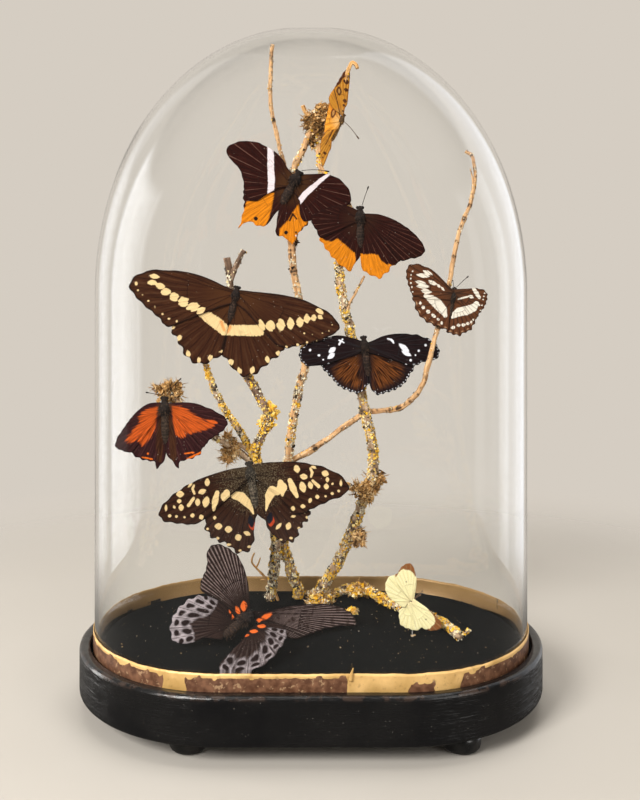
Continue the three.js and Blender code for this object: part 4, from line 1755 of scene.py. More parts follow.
def plate_loop(node: Object, thorax: Point, lying: bool) -> Pair:
    """Read the outline and the plane of a CAD wing plate.

    Args:
        node: the plate.
        thorax: the butterfly's thorax.
        lying: True for a wing laid flat, whose outline is seen from above.

    Returns:
        The outline in order, in mm from the thorax, and the plane's slope, slope and lift.
    """
    co = np.array([v.co for v in node.data.vertices]) / MM - thorax
    flat, deep = ([0, 1], 2) if lying else ([0, 2], 1)
    keys = {}
    for point in co:
        keys.setdefault(tuple(np.round(point[flat], 3)), []).append(point)
    names = {key: i for i, key in enumerate(keys)}
    index = [names[tuple(np.round(point[flat], 3))] for point in co]
    spots = np.array(list(keys))
    middle = np.array([np.mean([p[deep] for p in group]) for group in keys.values()])
    uses: dict[tuple[int, int], int] = {}
    for face in node.data.polygons:
        corners = [index[v] for v in face.vertices]
        if len(set(corners)) < 3:
            continue
        for a, b in zip(corners, corners[1:] + corners[:1]):
            uses[(min(a, b), max(a, b))] = uses.get((min(a, b), max(a, b)), 0) + 1
    links: dict[int, list[int]] = {}
    for (a, b), count in uses.items():
        if count == 2:
            links.setdefault(a, []).append(b)
            links.setdefault(b, []).append(a)
    order, last = [0], -1
    while len(order) < len(spots):
        here = order[-1]
        ahead = [k for k in links[here] if k != last and k not in order]
        last = here
        if not ahead:
            break
        order.append(ahead[0])
    design = np.column_stack([spots, np.ones(len(spots))])
    plane = np.linalg.lstsq(design, middle, rcond=None)[0]
    return spots[order], plane


def half_loop(loop: Array, plan: WingPlan) -> Array:
    """Cut one wing out of a plate that holds two, with the fore wing lapping over the hind wing.

    Args:
        loop: the plate's outline.
        plan: the wing.

    Returns:
        The wing's outline.
    """
    if plan.half is Half.WHOLE:
        return loop
    root = int(np.argmin(np.linalg.norm(loop, axis=1)))
    cut = int(np.argmin(np.linalg.norm(loop - plan.notch, axis=1)))
    low, high = sorted((root, cut))
    runs = (loop[low : high + 1], np.vstack([loop[high:], loop[: low + 1]]))
    way = np.array(plan.half.value)
    ranked = sorted(runs, key=lambda run: float(run.mean(0) @ way))
    kept, other = ranked[1], ranked[0]
    fore = plan.name.endswith("forewing")
    lean = unit(other.mean(0) - kept.mean(0)) * (1.2 if fore else 2.6)
    back = np.array(
        [kept[-1] + (kept[0] - kept[-1]) * t + lean * math.sin(math.pi * t) for t in (0.25, 0.5, 0.75)]
    )
    return np.vstack([kept, back])


class WingSheet:
    """The flat cut of one wing: its outline, veins, and how deep each point is in each marking."""

    def __init__(self, loop: Array, plan: WingPlan, step: float) -> None:
        """Lay out the outline and veins, and fill the outline with triangles.

        Args:
            loop: corners of the outline.
            plan: the wing.
            step: distance between points.
        """
        sharp = []
        for tip in plan.tips:
            near = int(np.argmin(np.linalg.norm(loop - tip, axis=1)))
            loop[near] = tip
            sharp.append(near)
        self.plan = plan
        outline = spline(loop, 0.5, True, tuple(sharp))
        self.root = loop[np.argmin(np.linalg.norm(loop, axis=1))] * 0.75
        self.middle = unit(outline.mean(0) - self.root)
        ray, reach = self.polar(outline)
        far = reach > 0.5 * reach.max()
        low, high = ray[far].min(), ray[far].max()
        self.rays = np.linspace(low + 0.03, high - 0.03, plan.veins)
        outer = (
            fade(reach / reach.max(), 0.45, 0.62)
            * fade(ray, low, low + 0.12)
            * (1 - fade(ray, high - 0.12, high))
        )
        lobes = np.cos(self.lane_turn(ray) * math.tau)
        normal = unit(np.roll(outline, -1, 0) - np.roll(outline, 1, 0))
        normal = np.stack([normal[:, 1], -normal[:, 0]], 1)
        area = np.sum(outline[:, 0] * np.roll(outline[:, 1], -1) - outline[:, 1] * np.roll(outline[:, 0], -1))
        normal *= np.sign(area)
        wander = grain(np.column_stack([outline, np.zeros(len(outline))]), 2.2, len(outline) % 7)
        self.outline = outline + normal * (outer * (lobes * plan.scallop + 0.10 * wander))[:, None]
        radial = unit(outline - self.root)
        self.outer = self.outline[(outer > 0.35) & (np.sum(normal * radial, axis=1) > 0.5)]
        self.limit = reach.max()
        self.fill(step)

    def polar(self, points: Array) -> Pair:
        """Angle from the wing's middle line and distance from its root.

        Args:
            points: places on the wing.

        Returns:
            The angles and the distances.
        """
        from_root = points - self.root
        along = from_root @ self.middle
        over = from_root @ np.array([-self.middle[1], self.middle[0]])
        return np.arctan2(over, along), np.linalg.norm(from_root, axis=1)

    def lane_turn(self, ray: Array) -> Array:
        """Place between two veins: whole numbers are veins."""
        return (ray - self.rays[0]) / (self.rays[1] - self.rays[0])

    def fill(self, step: float) -> None:
        """Fill the outline with evenly spread points and triangles.

        Args:
            step: distance between points.
        """
        low, high = self.outline.min(0), self.outline.max(0)
        xs = np.arange(low[0], high[0], step)
        ys = np.arange(low[1], high[1], step * 0.866)
        grid = np.array([(x + (step / 2 if k % 2 else 0), y) for k, y in enumerate(ys) for x in xs])
        grid = grid[inside(grid, self.outline)]
        ring = np.vstack([self.outline, self.outline[:1]])
        grid = grid[to_segments(grid, ring) > step * 0.45]
        cloud = [Vector(p) for p in np.vstack([self.outline, grid])]
        edge = list(range(len(self.outline)))
        found = geometry.delaunay_2d_cdt(cloud, [], [edge], 1, 1e-5)
        self.points = np.array([tuple(p) for p in found[0]])
        self.faces = [tuple(f) for f in found[2]]

    def veins(self) -> list[Array]:
        """The lines of the veins: a cell from the root, and branches from it to the margin.

        Returns:
            The lines.
        """
        knee, over = self.limit * 0.46, np.array([-self.middle[1], self.middle[0]])
        lines, knees = [], []
        for ray in self.rays:
            bent = ray * 0.94
            knees.append(self.root + knee * (math.cos(bent) * self.middle + math.sin(bent) * over))
            tip = self.root + self.limit * 1.1 * (math.cos(ray) * self.middle + math.sin(ray) * over)
            lines.append(
                np.array([knees[-1], (knees[-1] + tip) / 2 + 0.02 * self.limit * over * math.sin(ray), tip])
            )
        for k in (0, 1, len(knees) - 3, len(knees) - 1):
            lines.append(np.array([self.root, knees[k]]))
        lines.append(np.array(knees[1:-2]))
        return lines

    def depth(self, mark: Mark, points: Array, margin: Array) -> Array:
        """Distance from each point into a marking, negative inside it.

        Args:
            mark: the marking.
            points: places on the wing.
            margin: how far each place is from the outer margin.

        Returns:
            The distances.
        """
        if isinstance(mark, Rim):
            return margin - mark.wide
        if isinstance(mark, Row):
            ray, reach = self.polar(points)
            turn = self.lane_turn(ray)
            step = (self.rays[1] - self.rays[0]) * reach
            if mark.pairs:
                off = np.abs(np.mod(turn * 2, 1) - 0.5) * step / 2
            else:
                off = np.abs(np.mod(turn, 1) - 0.5) * step
            half = mark.along * step / (4 if mark.pairs else 2)
            gauge = np.hypot((margin - mark.depth) / mark.across, off / half) - 1
            shown = (turn > 0) & (turn < len(self.rays) - 1)
            return np.where(shown, gauge * min(mark.across, 1.0), FAR)
        rows = np.array(mark, float)
        if rows.ndim == 1:
            x, y, wide = rows[:3]
            tall, turn = rows[3] if len(rows) > 3 else wide, rows[4] if len(rows) > 4 else 0.0
            cos, sin = math.cos(math.radians(turn)), math.sin(math.radians(turn))
            off = points - (x, y)
            over, up = off @ (cos, sin), off @ (-sin, cos)
            reach = (np.abs(over / wide) ** 1.5 + np.abs(up / tall) ** 1.5) ** (1 / 1.5) * 0.94
            return (reach - 1) * min(wide, tall)
        if rows.shape[1] == 3:
            return to_segments(points, rows[:, :2], rows[:, 2])
        return patch(points, rows)

    def values(self) -> dict[str, Array]:
        """The numbers that the wing's finish reads.

        Returns:
            The numbers of every point, by name.
        """
        points = self.points
        ray, reach = self.polar(points)
        margin = np.sqrt(np.min(np.sum((points[:, None] - self.outer[None]) ** 2, axis=2), axis=1))
        edge = to_segments(points, np.vstack([self.outline, self.outline[:1]]))
        vein = np.min([to_segments(points, line) for line in self.veins()], axis=0)
        turn = self.lane_turn(ray)
        streaks = np.full(len(points), self.plan.streaks)
        found = {"ray": ray, "reach": reach, "edge": edge, "vein": vein, "turn": turn, "streaks": streaks}
        for letter in "abc":
            marks = self.plan.inks.get(letter, ())
            deep = [self.depth(mark, points, margin) for mark in marks]
            found[f"ink_{letter}"] = np.min(deep, axis=0) if deep else np.full(len(points), FAR)
        return found


@dataclass(frozen=True)
class Butterfly:
    """One mounted butterfly; head, tail, feelers and wings are measured from the thorax."""

    name: str
    at: Point
    head: Point
    tail: Point
    girth: float
    wings: tuple[WingPlan, ...]
    finish: WingFinish
    body: Fluff
    feelers: tuple[tuple[Point, Point], ...] = ()
    fluff: int = 260
    grip: float = 4.2
    closed: float = 0.12
    thickness: float = 0.3
    step: float = 0.62

    def build(self, nodes: dict[str, Object], seed: int) -> None:
        """Build the wings, then the body.

        Args:
            nodes: the CAD nodes by name.
            seed: sets the chance.
        """
        scales = self.finish.material()
        for plan in self.wings:
            self.wing(plan, nodes, scales)
        self.trunk(seed)

    def wing(self, plan: WingPlan, nodes: dict[str, Object], scales: Material) -> None:
        """Build one wing: two faces and a rim, with raised veins and soft pleats.

        Args:
            plan: the wing.
            nodes: the CAD nodes by name.
            scales: the wing's material.
        """
        node = f"{self.name}_{plan.plate or plan.name}"
        if plan.outline:
            loop, plane = np.array(plan.outline), np.array(plan.plane)
        else:
            loop, plane = plate_loop(nodes[node], self.at, plan.lying)
        sheet = WingSheet(self.drawn_in(half_loop(loop, plan), plan), plan, self.step)
        values = sheet.values()
        flat = sheet.points
        pleat = 0.16 * (0.5 - np.abs(np.mod(values["turn"], 1) - 0.5) * 2) * fade(values["reach"], 3, 14)
        under = 0.55 if plan.half is not Half.WHOLE and plan.name.endswith("hindwing") else 0.0
        ridge = 0.13 * (1 - fade(values["vein"], 0.0, 0.6))
        taper = fade(values["edge"], 0.0, 0.9)
        half = self.thickness / 2 * (0.35 + 0.65 * taper)
        place = flat @ plane[:2] + plane[2]
        out = 1.0 if plan.lying else -1.0
        middle = place + out * (pleat - under)
        faces = list(sheet.faces)
        count = len(flat)
        front, back = middle + out * (half + ridge), middle - out * half
        deep = np.concatenate([front, back])
        both = np.vstack([flat, flat])
        order = (both[:, 0], both[:, 1], deep) if plan.lying else (both[:, 0], deep, both[:, 1])
        points = np.stack(order, 1) + np.array(self.at)
        rim = self.boundary(faces)
        sides = [(a, b, b + count, a + count) for a, b in rim]
        backs = [tuple(i + count for i in reversed(face)) for face in faces]
        whole = faces + backs + [tuple(reversed(s)) for s in sides]
        numbers = {key: np.concatenate([row, row]) for key, row in values.items()}
        name = f"{self.name}_{plan.name}"
        piece = add_piece(name, points, whole, scales, (node,), numbers)
        self.face_out(piece)

    def drawn_in(self, loop: Array, plan: WingPlan) -> Array:
        """Carry a wing's inner margin in to the middle line of the body.

        Args:
            loop: the wing's outline.
            plan: the wing.

        Returns:
            The outline carried in.
        """
        flat = [0, 1] if plan.lying else [0, 2]
        grip = plan.grip or self.grip
        tail, head = np.array(self.tail)[flat], np.array(self.head)[flat]
        low = tail + (tail - head) * self.closed
        way = head * 0.7 - low
        share = np.clip((loop - low) @ way / (way @ way), 0, 1)
        foot = low + share[:, None] * way
        gap = np.linalg.norm(loop - foot, axis=1)
        pull = 1 - fade(gap, grip, grip + 1.5)
        return foot + (loop - foot) * (1 - 1.06 * pull)[:, None]

    @staticmethod
    def boundary(faces: Faces) -> list[tuple[int, int]]:
        """The edges that only one face uses, in that face's order."""
        seen = {(a, b) for face in faces for a, b in zip(face, face[1:] + face[:1])}
        return [(a, b) for a, b in seen if (b, a) not in seen]

    @staticmethod
    def face_out(piece: Object) -> None:
        """Turn a closed mesh's faces outwards, if they point in.

        Args:
            piece: the piece with the mesh.
        """
        mesh = piece.data
        co = np.zeros(len(mesh.vertices) * 3)
        mesh.vertices.foreach_get("co", co)
        co = co.reshape(-1, 3) - co.reshape(-1, 3).mean(0)
        mesh.calc_loop_triangles()
        corners = np.zeros(len(mesh.loop_triangles) * 3, int)
        mesh.loop_triangles.foreach_get("vertices", corners)
        a, b, c = (co[corners.reshape(-1, 3)[:, k]] for k in range(3))
        if np.einsum("ij,ij->i", a, np.cross(b, c)).sum() < 0:
            mesh.flip_normals()

    def trunk(self, seed: int) -> None:
        """Build the abdomen, thorax, head, eyes, feelers and fur.

        Args:
            seed: sets the chance.
        """
        rng = np.random.default_rng(seed)
        head, tail = np.array(self.head), np.array(self.tail)
        length = float(np.linalg.norm(head - tail))
        share = np.linspace(0, 1, 46)
        line = tail + (head - tail) * share[:, None]
        line[:, 1] -= self.girth * (0.2 + 0.3 * np.sin(share * math.pi))
        stations = [0, 0.03, 0.1, 0.25, 0.42, 0.56, 0.62, 0.72, 0.82, 0.88, 0.91, 0.95, 0.985, 1]
        girths = [0.1, 0.34, 0.56, 0.70, 0.70, 0.58, 0.66, 1.0, 0.86, 0.52, 0.5, 0.58, 0.4, 0.05]
        radii = np.interp(share, stations, girths) * self.girth
        rings = 1 - 0.05 * (np.cos(share * 9 / 0.58 * math.tau) > 0.55) * (share < 0.58)
        sides = 20
        turn = circle(sides)
        lumps = 1 + 0.05 * grain(
            np.array([(math.cos(a) * 2, math.sin(a) * 2, s * length) for s in share for a in turn]), 1.2,
            seed,
        )
        skin, faces = tube(line, (radii * rings)[:, None] * lumps.reshape(len(share), sides), sides)
        heap = Heap()
        heap.add(
            skin, faces,
            np.append(np.repeat(0.25 + 0.15 * (rings < 1) + 0.12 * (share < 0.56), sides), [0.3, 0.3]),
        )
        across = unit(np.cross(head - tail, (0.0, -1.0, 0.0)))
        top = tail + (head - tail) * 0.955
        for side in (-1, 1):
            eye, faces = ball(
                top + across * side * self.girth * 0.42 + (0, -self.girth * 0.3, 0), self.girth * 0.3,
            )
            heap.add(eye, faces, -0.2)
        self.hair(heap, rng, line, radii)
        for start, tip in self.feelers:
            self.feeler(heap, np.array(start), np.array(tip))
        for cloud in heap.points:
            cloud += np.array(self.at)
        heap.piece(f"{self.name}_trunk", self.body.material(), "insect_body", (f"{self.name}_body",))

    def hair(self, heap: Heap, rng: Chance, line: Array, radii: Array) -> None:
        """Lay fur back along the thorax and thin hair on the abdomen.

        Args:
            heap: takes the hairs.
            rng: the source of chance.
            line: the body's middle line, from the tail.
            radii: the radius at each point.
        """
        count = self.fluff
        share = np.where(
            rng.uniform(0, 1, count) < 0.72, rng.normal(0.74, 0.085, count), rng.uniform(0.05, 0.7, count),
        )
        spot = np.clip((share * (len(line) - 1)).astype(int), 0, len(line) - 1)
        out = random_ways(rng, count)
        forward = unit(line[-1] - line[0])
        out = unit(out - forward * (out @ forward)[:, None])
        start = line[spot] + out * radii[spot][:, None] * 0.85
        ways = unit(out * 0.75 - forward * rng.uniform(0.5, 1.3, (count, 1)))
        lengths = rng.uniform(0.5, 1.25, count) * self.girth * 0.55
        points, faces = strands(
            start, ways, lengths, 0.09 + 0.03 * self.girth, random_ways(rng, count) * 0.25, 3,
        )
        heap.add(points, faces, np.repeat(rng.uniform(0, 1, count), 9))

    def feeler(self, heap: Heap, start: Array, tip: Array) -> None:
        """One antenna: a thin bowed thread with a club at its end.

        Args:
            heap: takes the feeler.
            start: its root.
            tip: its tip.
        """
        bow = (start + tip) / 2 + (0, -0.8, 0.04 * np.linalg.norm(tip - start))
        line = spline(np.array([start, bow, tip]), 0.4)
        share = np.linspace(0, 1, len(line))
        points, faces = tube(
            line, 0.17 + 0.24 * fade(share, 0.78, 0.93) * (1 - 0.6 * fade(share, 0.96, 1.0)), 8,
        )
        heap.add(points, faces, -0.1)


CREAM: Colour = (0.78, 0.575, 0.285)
DARK_FUR = Fluff("black_fur", (0.009, 0.005, 0.0038), (0.085, 0.048, 0.031))
BROWN_FUR = Fluff("brown_fur", (0.022, 0.014, 0.009), (0.16, 0.105, 0.06))
GREY_FUR = Fluff("grey_fur", (0.012, 0.0075, 0.0055), (0.11, 0.068, 0.042))
ASH_FUR = Fluff("ash_fur", (0.02, 0.016, 0.012), (0.26, 0.21, 0.15))
TAWNY_FUR = Fluff("tawny_fur", (0.07, 0.035, 0.012), (0.42, 0.24, 0.08))
PALE_FUR = Fluff("pale_fur", (0.16, 0.10, 0.06), (0.62, 0.50, 0.32))


def brown_swallowtail() -> Butterfly:
    """Large brown swallowtail with one bent row of cream spots.

    Returns:
        The butterfly.
    """
    left_spots = (
        (-45.3, 10.7, 2.6, 1.2), (-46.3, 7.5, 2.4, 1.4), (-41.9, 5.5, 2.6, 1.7, -10),
        (-38.8, 2.1, 2.7, 2, 10), (-34.1, -0.7, 2.6, 2.3, 30), (-29, -3.4, 2.9, 2.7, 30),
        (-23.7, -6.3, 3.4, 2.4, 20), (-19.5, -8.6, 2.4, 1.6, 35), (-55, 7, 0.7, 1.3), (-54.1, 3.3, 0.6),
        (-51.6, 0.3, 0.5), (-48.4, -2.7, 0.45), (-44.8, -6.6, 0.55), (-40.6, -10.3, 0.65),
        (-37.1, -12.9, 0.6), (-32.6, -14.7, 0.6),
    )
    right_spots = (
        (14.8, -17.2, 1.7, 3.3, 15), (19.5, -17.3, 2.6, 3.1), (25.4, -16.6, 2.2, 3.7),
        (30.9, -15.8, 1.9, 3.1, 5), (36.3, -15, 2, 2.9, 5), (40.3, -13.1, 1.8, 2.5, 5),
        (44.3, -12.3, 1.6, 1.9), (47.7, -9.2, 2.2, 1.3, -35), (47.7, -12.2, 1.6, 1.2, -30),
        (54.7, -16.5, 0.45), (52.9, -19.9, 0.45), (49.1, -21.4, 0.45), (43.4, -22.2, 0.35),
        (38.8, -21.4, 0.35), (46, -25.6, 0.55), (40.3, -26.7, 0.55), (35, -28, 0.6), (28.7, -29, 0.65),
        (23.4, -28.7, 0.6),
    )
    left_lunules = (
        (-35.3, -17.5, 1.2, 1), (-31.5, -23.6, 1.4, 1.9, -20), (-26.3, -32.8, 1.2, 2, 15),
        (-20.6, -36.3, 1.1, 1.7), (-14.3, -35, 1.2, 1.7, -10), (-7.9, -31.5, 1.3, 0.5, 15),
    )
    right_lunules = (
        (-2.7, -37.4, 1.3, 1.7), (2.3, -42.5, 1.2, 1.9, 15), (9.3, -42.4, 1.3, 2, -15),
        (17.9, -36.2, 1.3, 1.9, 10), (23.9, -32.7, 1.1, 1.2),
    )
    left_band = (
        (-18.7, -9.7, 2.4), (-15.6, -12, 3), (-11.1, -15.3, 3.3), (-7.4, -18.2, 3.3), (-6.1, -19.7, 2.7),
    )
    right_band = ((-4.3, -19.7, 2.9), (0.9, -19.6, 3), (6.7, -19.8, 3.1), (13.3, -19.8, 3.1))
    finish = WingFinish(
        "brown_swallowtail_scales", (0.034, 0.0108, 0.0048), (0.056, 0.019, 0.0075), (0.062, 0.0225, 0.008),
        24,
        (0.020, 0.009, 0.006), 1.6, (0.015, 0.006, 0.0035), (0.10, 0.045, 0.022), 1, 0.3, 0.4,
        (Ink(CREAM, 0.2, 1.1, 0.08), Ink((0.70, 0.33, 0.11), 0.6, 0.5)),
    )
    wings = (
        WingPlan("left_forewing", veins=9, scallop=0.3, inks={"a": left_spots}),
        WingPlan(
            "left_hindwing", veins=7, scallop=0.7,
            inks={"a": (left_band, *left_lunules), "b": (((-8.2, -14.9, 1), (-6.4, -19.5, 0.8)),)},
        ),
        WingPlan("right_forewing", veins=9, scallop=0.3, inks={"a": right_spots}),
        WingPlan(
            "right_hindwing", veins=7, scallop=0.7,
            inks={"a": (right_band, *right_lunules), "b": (((-3.3, -17.8, 1.1), (-4.5, -20.7, 0.6)),)},
        ),
    )
    return Butterfly(
        "brown_swallowtail", (-42.6, 2.4, 225), (1.2, 0, 5.6), (-3.8, 0.6, -15.8), 3, wings, finish, DARK_FUR,
        closed=0.85,
    )


def citrus_swallowtail() -> Butterfly:
    """Citrus swallowtail: many cream spots, a broken cream band and an eyespot on each hind wing.

    Returns:
        The butterfly.
    """
    left_spots = (
        (-25.5, -3.7, 1.4, 2.2), (-28.4, -8.9, 2.2, 1.5, 20), (-40.9, -10, 2.1, 1.8), (-41.4, -14, 1.2),
        (-40.3, -17.7, 1.4, 1.8), (-44.2, -17.2, 0.6, 1, 25), (-48.7, -17.8, 0.7, 1.9),
        (-35.4, -5.2, 1.6, 0.7, 40), (-31, -14.9, 1.4, 2.1), (-26.2, -14.8, 1.9, 3, -15), (-46.7, -22.2, 0.9),
        (-43, -22.6, 0.8), (-38.5, -23.2, 0.7), (-33.9, -22.4, 1.2), (-28.9, -23.4, 1.3, 1.4, 20),
        ((-33.1, -5.2, 0.6), (-33.9, -7.2, 0.7), (-32.8, -10, 0.6)), ((-33.3, -12.6, 0.8), (-36.1, -16.5, 1)),
        ((-19.8, -9.7, 1.2), (-21, -14.4, 1.9), (-21.8, -19.6, 0.8)), (
            (-14.4, -9.9, 1.8), (-15.1, -12.1, 2.7), (-14.1, -16.3, 0.6),
        ),
    )
    left_hind = (
        ((-9.7, -11.8, 2.3), (-6.4, -12.7, 2.7), (-3.2, -15.9, 2.4), (-0.8, -19.2, 1.3), (0.7, -22.6, 0.4)),
        (-21.4, -24.2, 1, 1.1), (-19.1, -29.3, 2.1, 1.8), (-13.4, -31.2, 2, 1.9), (-7.9, -36, 1.8, 1.9, 20),
        (-2.8, -33.9, 2, 1.2, -25), (-25.3, -30.6, 0.8), (-19.6, -36.1, 1, 0.8), (-13.2, -40, 1.5, 0.7),
        (-6.9, -43.6, 1.1, 0.7), (-1.5, -41.6, 1.3, 0.7),
    )
    right_spots = (
        (25.6, 4, 1.7, 2.2, 15), (29.6, -0.3, 2.2, 1.5, -5), (35.4, 5.1, 1.6, 0.8, -20),
        (42, 1.8, 2, 1.8, -20), (43.2, -1.8, 1, 1.4), (42.6, -5.6, 1.4, 1.6), (46.1, -4.1, 0.6, 0.9, -30),
        (50.9, -3.4, 0.7, 1.9), (33.4, -5.2, 1.4, 2.1, 15), (29, -6.3, 1.9, 3, 15), (49.7, -8, 0.8),
        (46, -9.5, 0.9), (42.2, -11.2, 0.7), (37.4, -11.7, 1.2), (33.3, -13.8, 1.1, 1.4, -20),
        (29, -17.3, 1.4, 1.1), (23.4, -18.7, 1.2, 1.4), (17.3, -16.6, 0.8, 1.2),
        ((33.4, 4.4, 0.6), (34.5, 2.2, 0.8), (33.8, -0.4, 0.6)), ((34.8, -2.6, 0.8), (38.2, -5.7, 1)),
        ((21.6, -2.7, 1.3), (23.4, -7.1, 2), (25.6, -11.7, 1)), (
            (16.2, -4, 1.6), (17.1, -6.8, 2.9), (17.3, -11.4, 0.6),
        ),
        ((13.9, -9.3, 2.3), (11.6, -8.8, 2.7), (9.8, -12.1, 2.4)),
    )
    right_hind = (
        ((13.9, -9.3, 2.3), (11.6, -8.8, 2.7), (9.8, -12.1, 2.4), (8.7, -16.5, 1.1), (7.9, -20.8, 0.3)),
        (15.1, -29.4, 1, 2.3, -40), (20.7, -29.1, 1.5, 2.1, -20), (23.5, -23.5, 1.4, 0.7, 10),
        (30.1, -21, 0.6), (31.4, -23.8, 0.8), (26.8, -30.1, 1, 0.8), (22.2, -35.9, 1.1, 0.7),
        (16.4, -37, 1, 0.6),
    )
    finish = WingFinish(
        "citrus_swallowtail_scales", (0.025, 0.0085, 0.0045), (0.043, 0.016, 0.008), (0.030, 0.018, 0.010),
        26,
        (0.016, 0.008, 0.006), 1, (0.007, 0.004, 0.003), (0.06, 0.034, 0.022), 1, 0.3, 0.25,
        (
            Ink(CREAM, 0.2, 0.35, 0.08), Ink((0.42, 0.05, 0.014), 0.25, 0.2),
            Ink((0.006, 0.007, 0.013), 0.3, 0.2),
        ), 24,
    )
    wings = (
        WingPlan("left_forewing", veins=9, scallop=0.3, inks={"a": left_spots}),
        WingPlan(
            "left_hindwing", veins=8, scallop=0.9,
            inks={"a": left_hind, "b": ((-0.1, -29, 1.8, 3, 10),), "c": ((-0.6, -27.2, 1.7, 3.4, 10),)},
        ),
        WingPlan("right_forewing", veins=9, scallop=0.3, inks={"a": right_spots}),
        WingPlan(
            "right_hindwing", veins=8, scallop=0.9,
            inks={"a": right_hind, "b": ((10.9, -26.6, 1.8, 3, -10),), "c": ((10.2, -24.9, 1.7, 3.3, -10),)},
        ),
    )
    return Butterfly(
        "citrus_swallowtail", (-33.8, 11.5, 122), (-2, 0, 7.6), (2.4, 1, -20.5), 3.6, wings, finish, ASH_FUR,
    )


def white_banded() -> Butterfly:
    """Maroon butterfly with a white band across each fore wing and orange hind wings.

    Returns:
        The butterfly.
    """
    left_orange = (
        (-25.4, -10.1), (-19.4, -9.6), (-14.3, -4.9), (-10.6, -5.3), (-12, -14.1), (-15.7, -25.4),
        (-23.1, -23.7), (-30.6, -25.5), (-28.6, -18),
    )
    right_orange = (
        (3.3, -11.2), (0, -15.9), (-2.8, -20.6), (-7.5, -25.3), (-7.5, -31.9), (-1.8, -32.8), (0.4, -36.5),
        (4.8, -25.2), (8.4, -21.4), (9.4, -18.6), (5.2, -17.6),
    )
    white = Ink((0.78, 0.69, 0.72), 0.2, 0.6, 0.1)
    finish = WingFinish(
        "white_banded_scales", (0.018, 0.0032, 0.0022), (0.032, 0.0062, 0.004), (0.055, 0.022, 0.008), 15,
        (0.018, 0.006, 0.006), 0.8, (0.018, 0.006, 0.005), (0.32, 0.17, 0.13), 1, 0.10, 0.36,
        (
            Ink((0.72, 0.225, 0.008), 0.55, 0.9, 0.3), white, Ink((0.012, 0.007, 0.006), 0.25, 0.2),
        ), vein_on_ink=0.35,
    )
    wings = (
        WingPlan(
            "left_forewing", veins=9, scallop=0.15,
            inks={
                "b": (
                    (
                        (-12.9, 20.8, 1.3), (-12.3, 15.5, 1.8), (-12.4, 9, 1.8), (-12, 2.5, 1.9),
                        (-12.4, -6, 1.8),
                    ),
                )
            },
        ),
        WingPlan(
            "left_hindwing", veins=7, scallop=0.35, tips=((-30.2, -25),),
            inks={"a": (left_orange,), "c": ((-20.6, -19.6, 1.15), (-24.8, -12, 0.35))},
        ),
        WingPlan(
            "right_forewing", veins=9, scallop=0.15, grip=6.5,
            inks={
                "b": (
                    (
                        (20.8, 6.2, 0.7), (15.9, 2.4, 1.15), (11.2, -1.8, 1.45), (7, -5.6, 1.6),
                        (2.6, -11.3, 1.5),
                    ),
                )
            },
        ),
        WingPlan(
            "right_hindwing", veins=7, scallop=0.35, tips=((-0.6, -34.6),), grip=6.5,
            inks={
                "a": (right_orange,), "b": ((1.8, -29, 0.35),),
                "c": (
                    (-3.9, -27.3, 1.1), (1.8, -27.2, 0.5, 0.8),
                    ((-1.8, -20.6, 0.5), (0, -16.8, 0.5), (2.1, -19.6, 0.4)),
                ),
            },
        ),
    )
    return Butterfly(
        "white_banded_butterfly", (-10.2, -2, 287.7), (4.2, 0, 7.5), (-6.7, 0.5, -12.2), 3.7, wings, finish,
        DARK_FUR,
        (((5, -1, 7.6), (20.5, -2, 6.9)),),
    )


def maroon_orange() -> Butterfly:
    """Maroon butterfly whose hind wings are orange below.

    Returns:
        The butterfly.
    """
    left = (
        (-24.6, -9), (-19.7, -12.8), (-16.4, -12.8), (-13.2, -11.2), (-8.5, -15.1), (-3.8, -19.3), (-2, -31),
        (-27.3, -32.1),
    )
    right = (
        (-2.3, -19.7), (2.8, -20.2), (6, -19.8), (9.3, -20.3), (11.1, -23.5), (13.9, -25.6), (19.1, -26.3),
        (17.7, -36.7), (-2.8, -35.8),
    )
    finish = WingFinish(
        "maroon_orange_scales", (0.016, 0.003, 0.002), (0.028, 0.0055, 0.0035), (0.03, 0.011, 0.006), 14,
        (0.016, 0.005, 0.004), 0.9, (0.014, 0.005, 0.004), (0.30, 0.15, 0.11), 1, 0.10, 0.36,
        (Ink((0.68, 0.215, 0.008), 0.5, 1.2, 0.3),),
    )
    strip = ((11.1, -23.7, 0.3), (13.9, -24.9, 0.4), (16.8, -24.9, 0.4))
    wings = (
        WingPlan(
            "left_hindwing", "left_wings", Half.LOWER, (-23.4, -10), 7, 0.4, ((-5.9, -29.6),),
            inks={"a": (left,)},
        ),
        WingPlan("left_forewing", "left_wings", Half.UPPER, (-23.4, -10), 9, 0.12),
        WingPlan(
            "right_hindwing", "right_wings", Half.LOWER, (19.6, -24.4), 7, 0.5, ((9.9, -33.9),),
            inks={"a": (right,)},
        ),
        WingPlan("right_forewing", "right_wings", Half.UPPER, (19.6, -24.4), 9, 0.12, inks={"a": (strip,)}),
    )
    return Butterfly(
        "maroon_orange_butterfly", (28.2, 1, 268.3), (-0.5, 0, 7.5), (-0.4, 1, -17.8), 3.3, wings, finish,
        DARK_FUR, (((0.6, -1, 7.4), (4.2, -2.5, 18.2)),),
    )


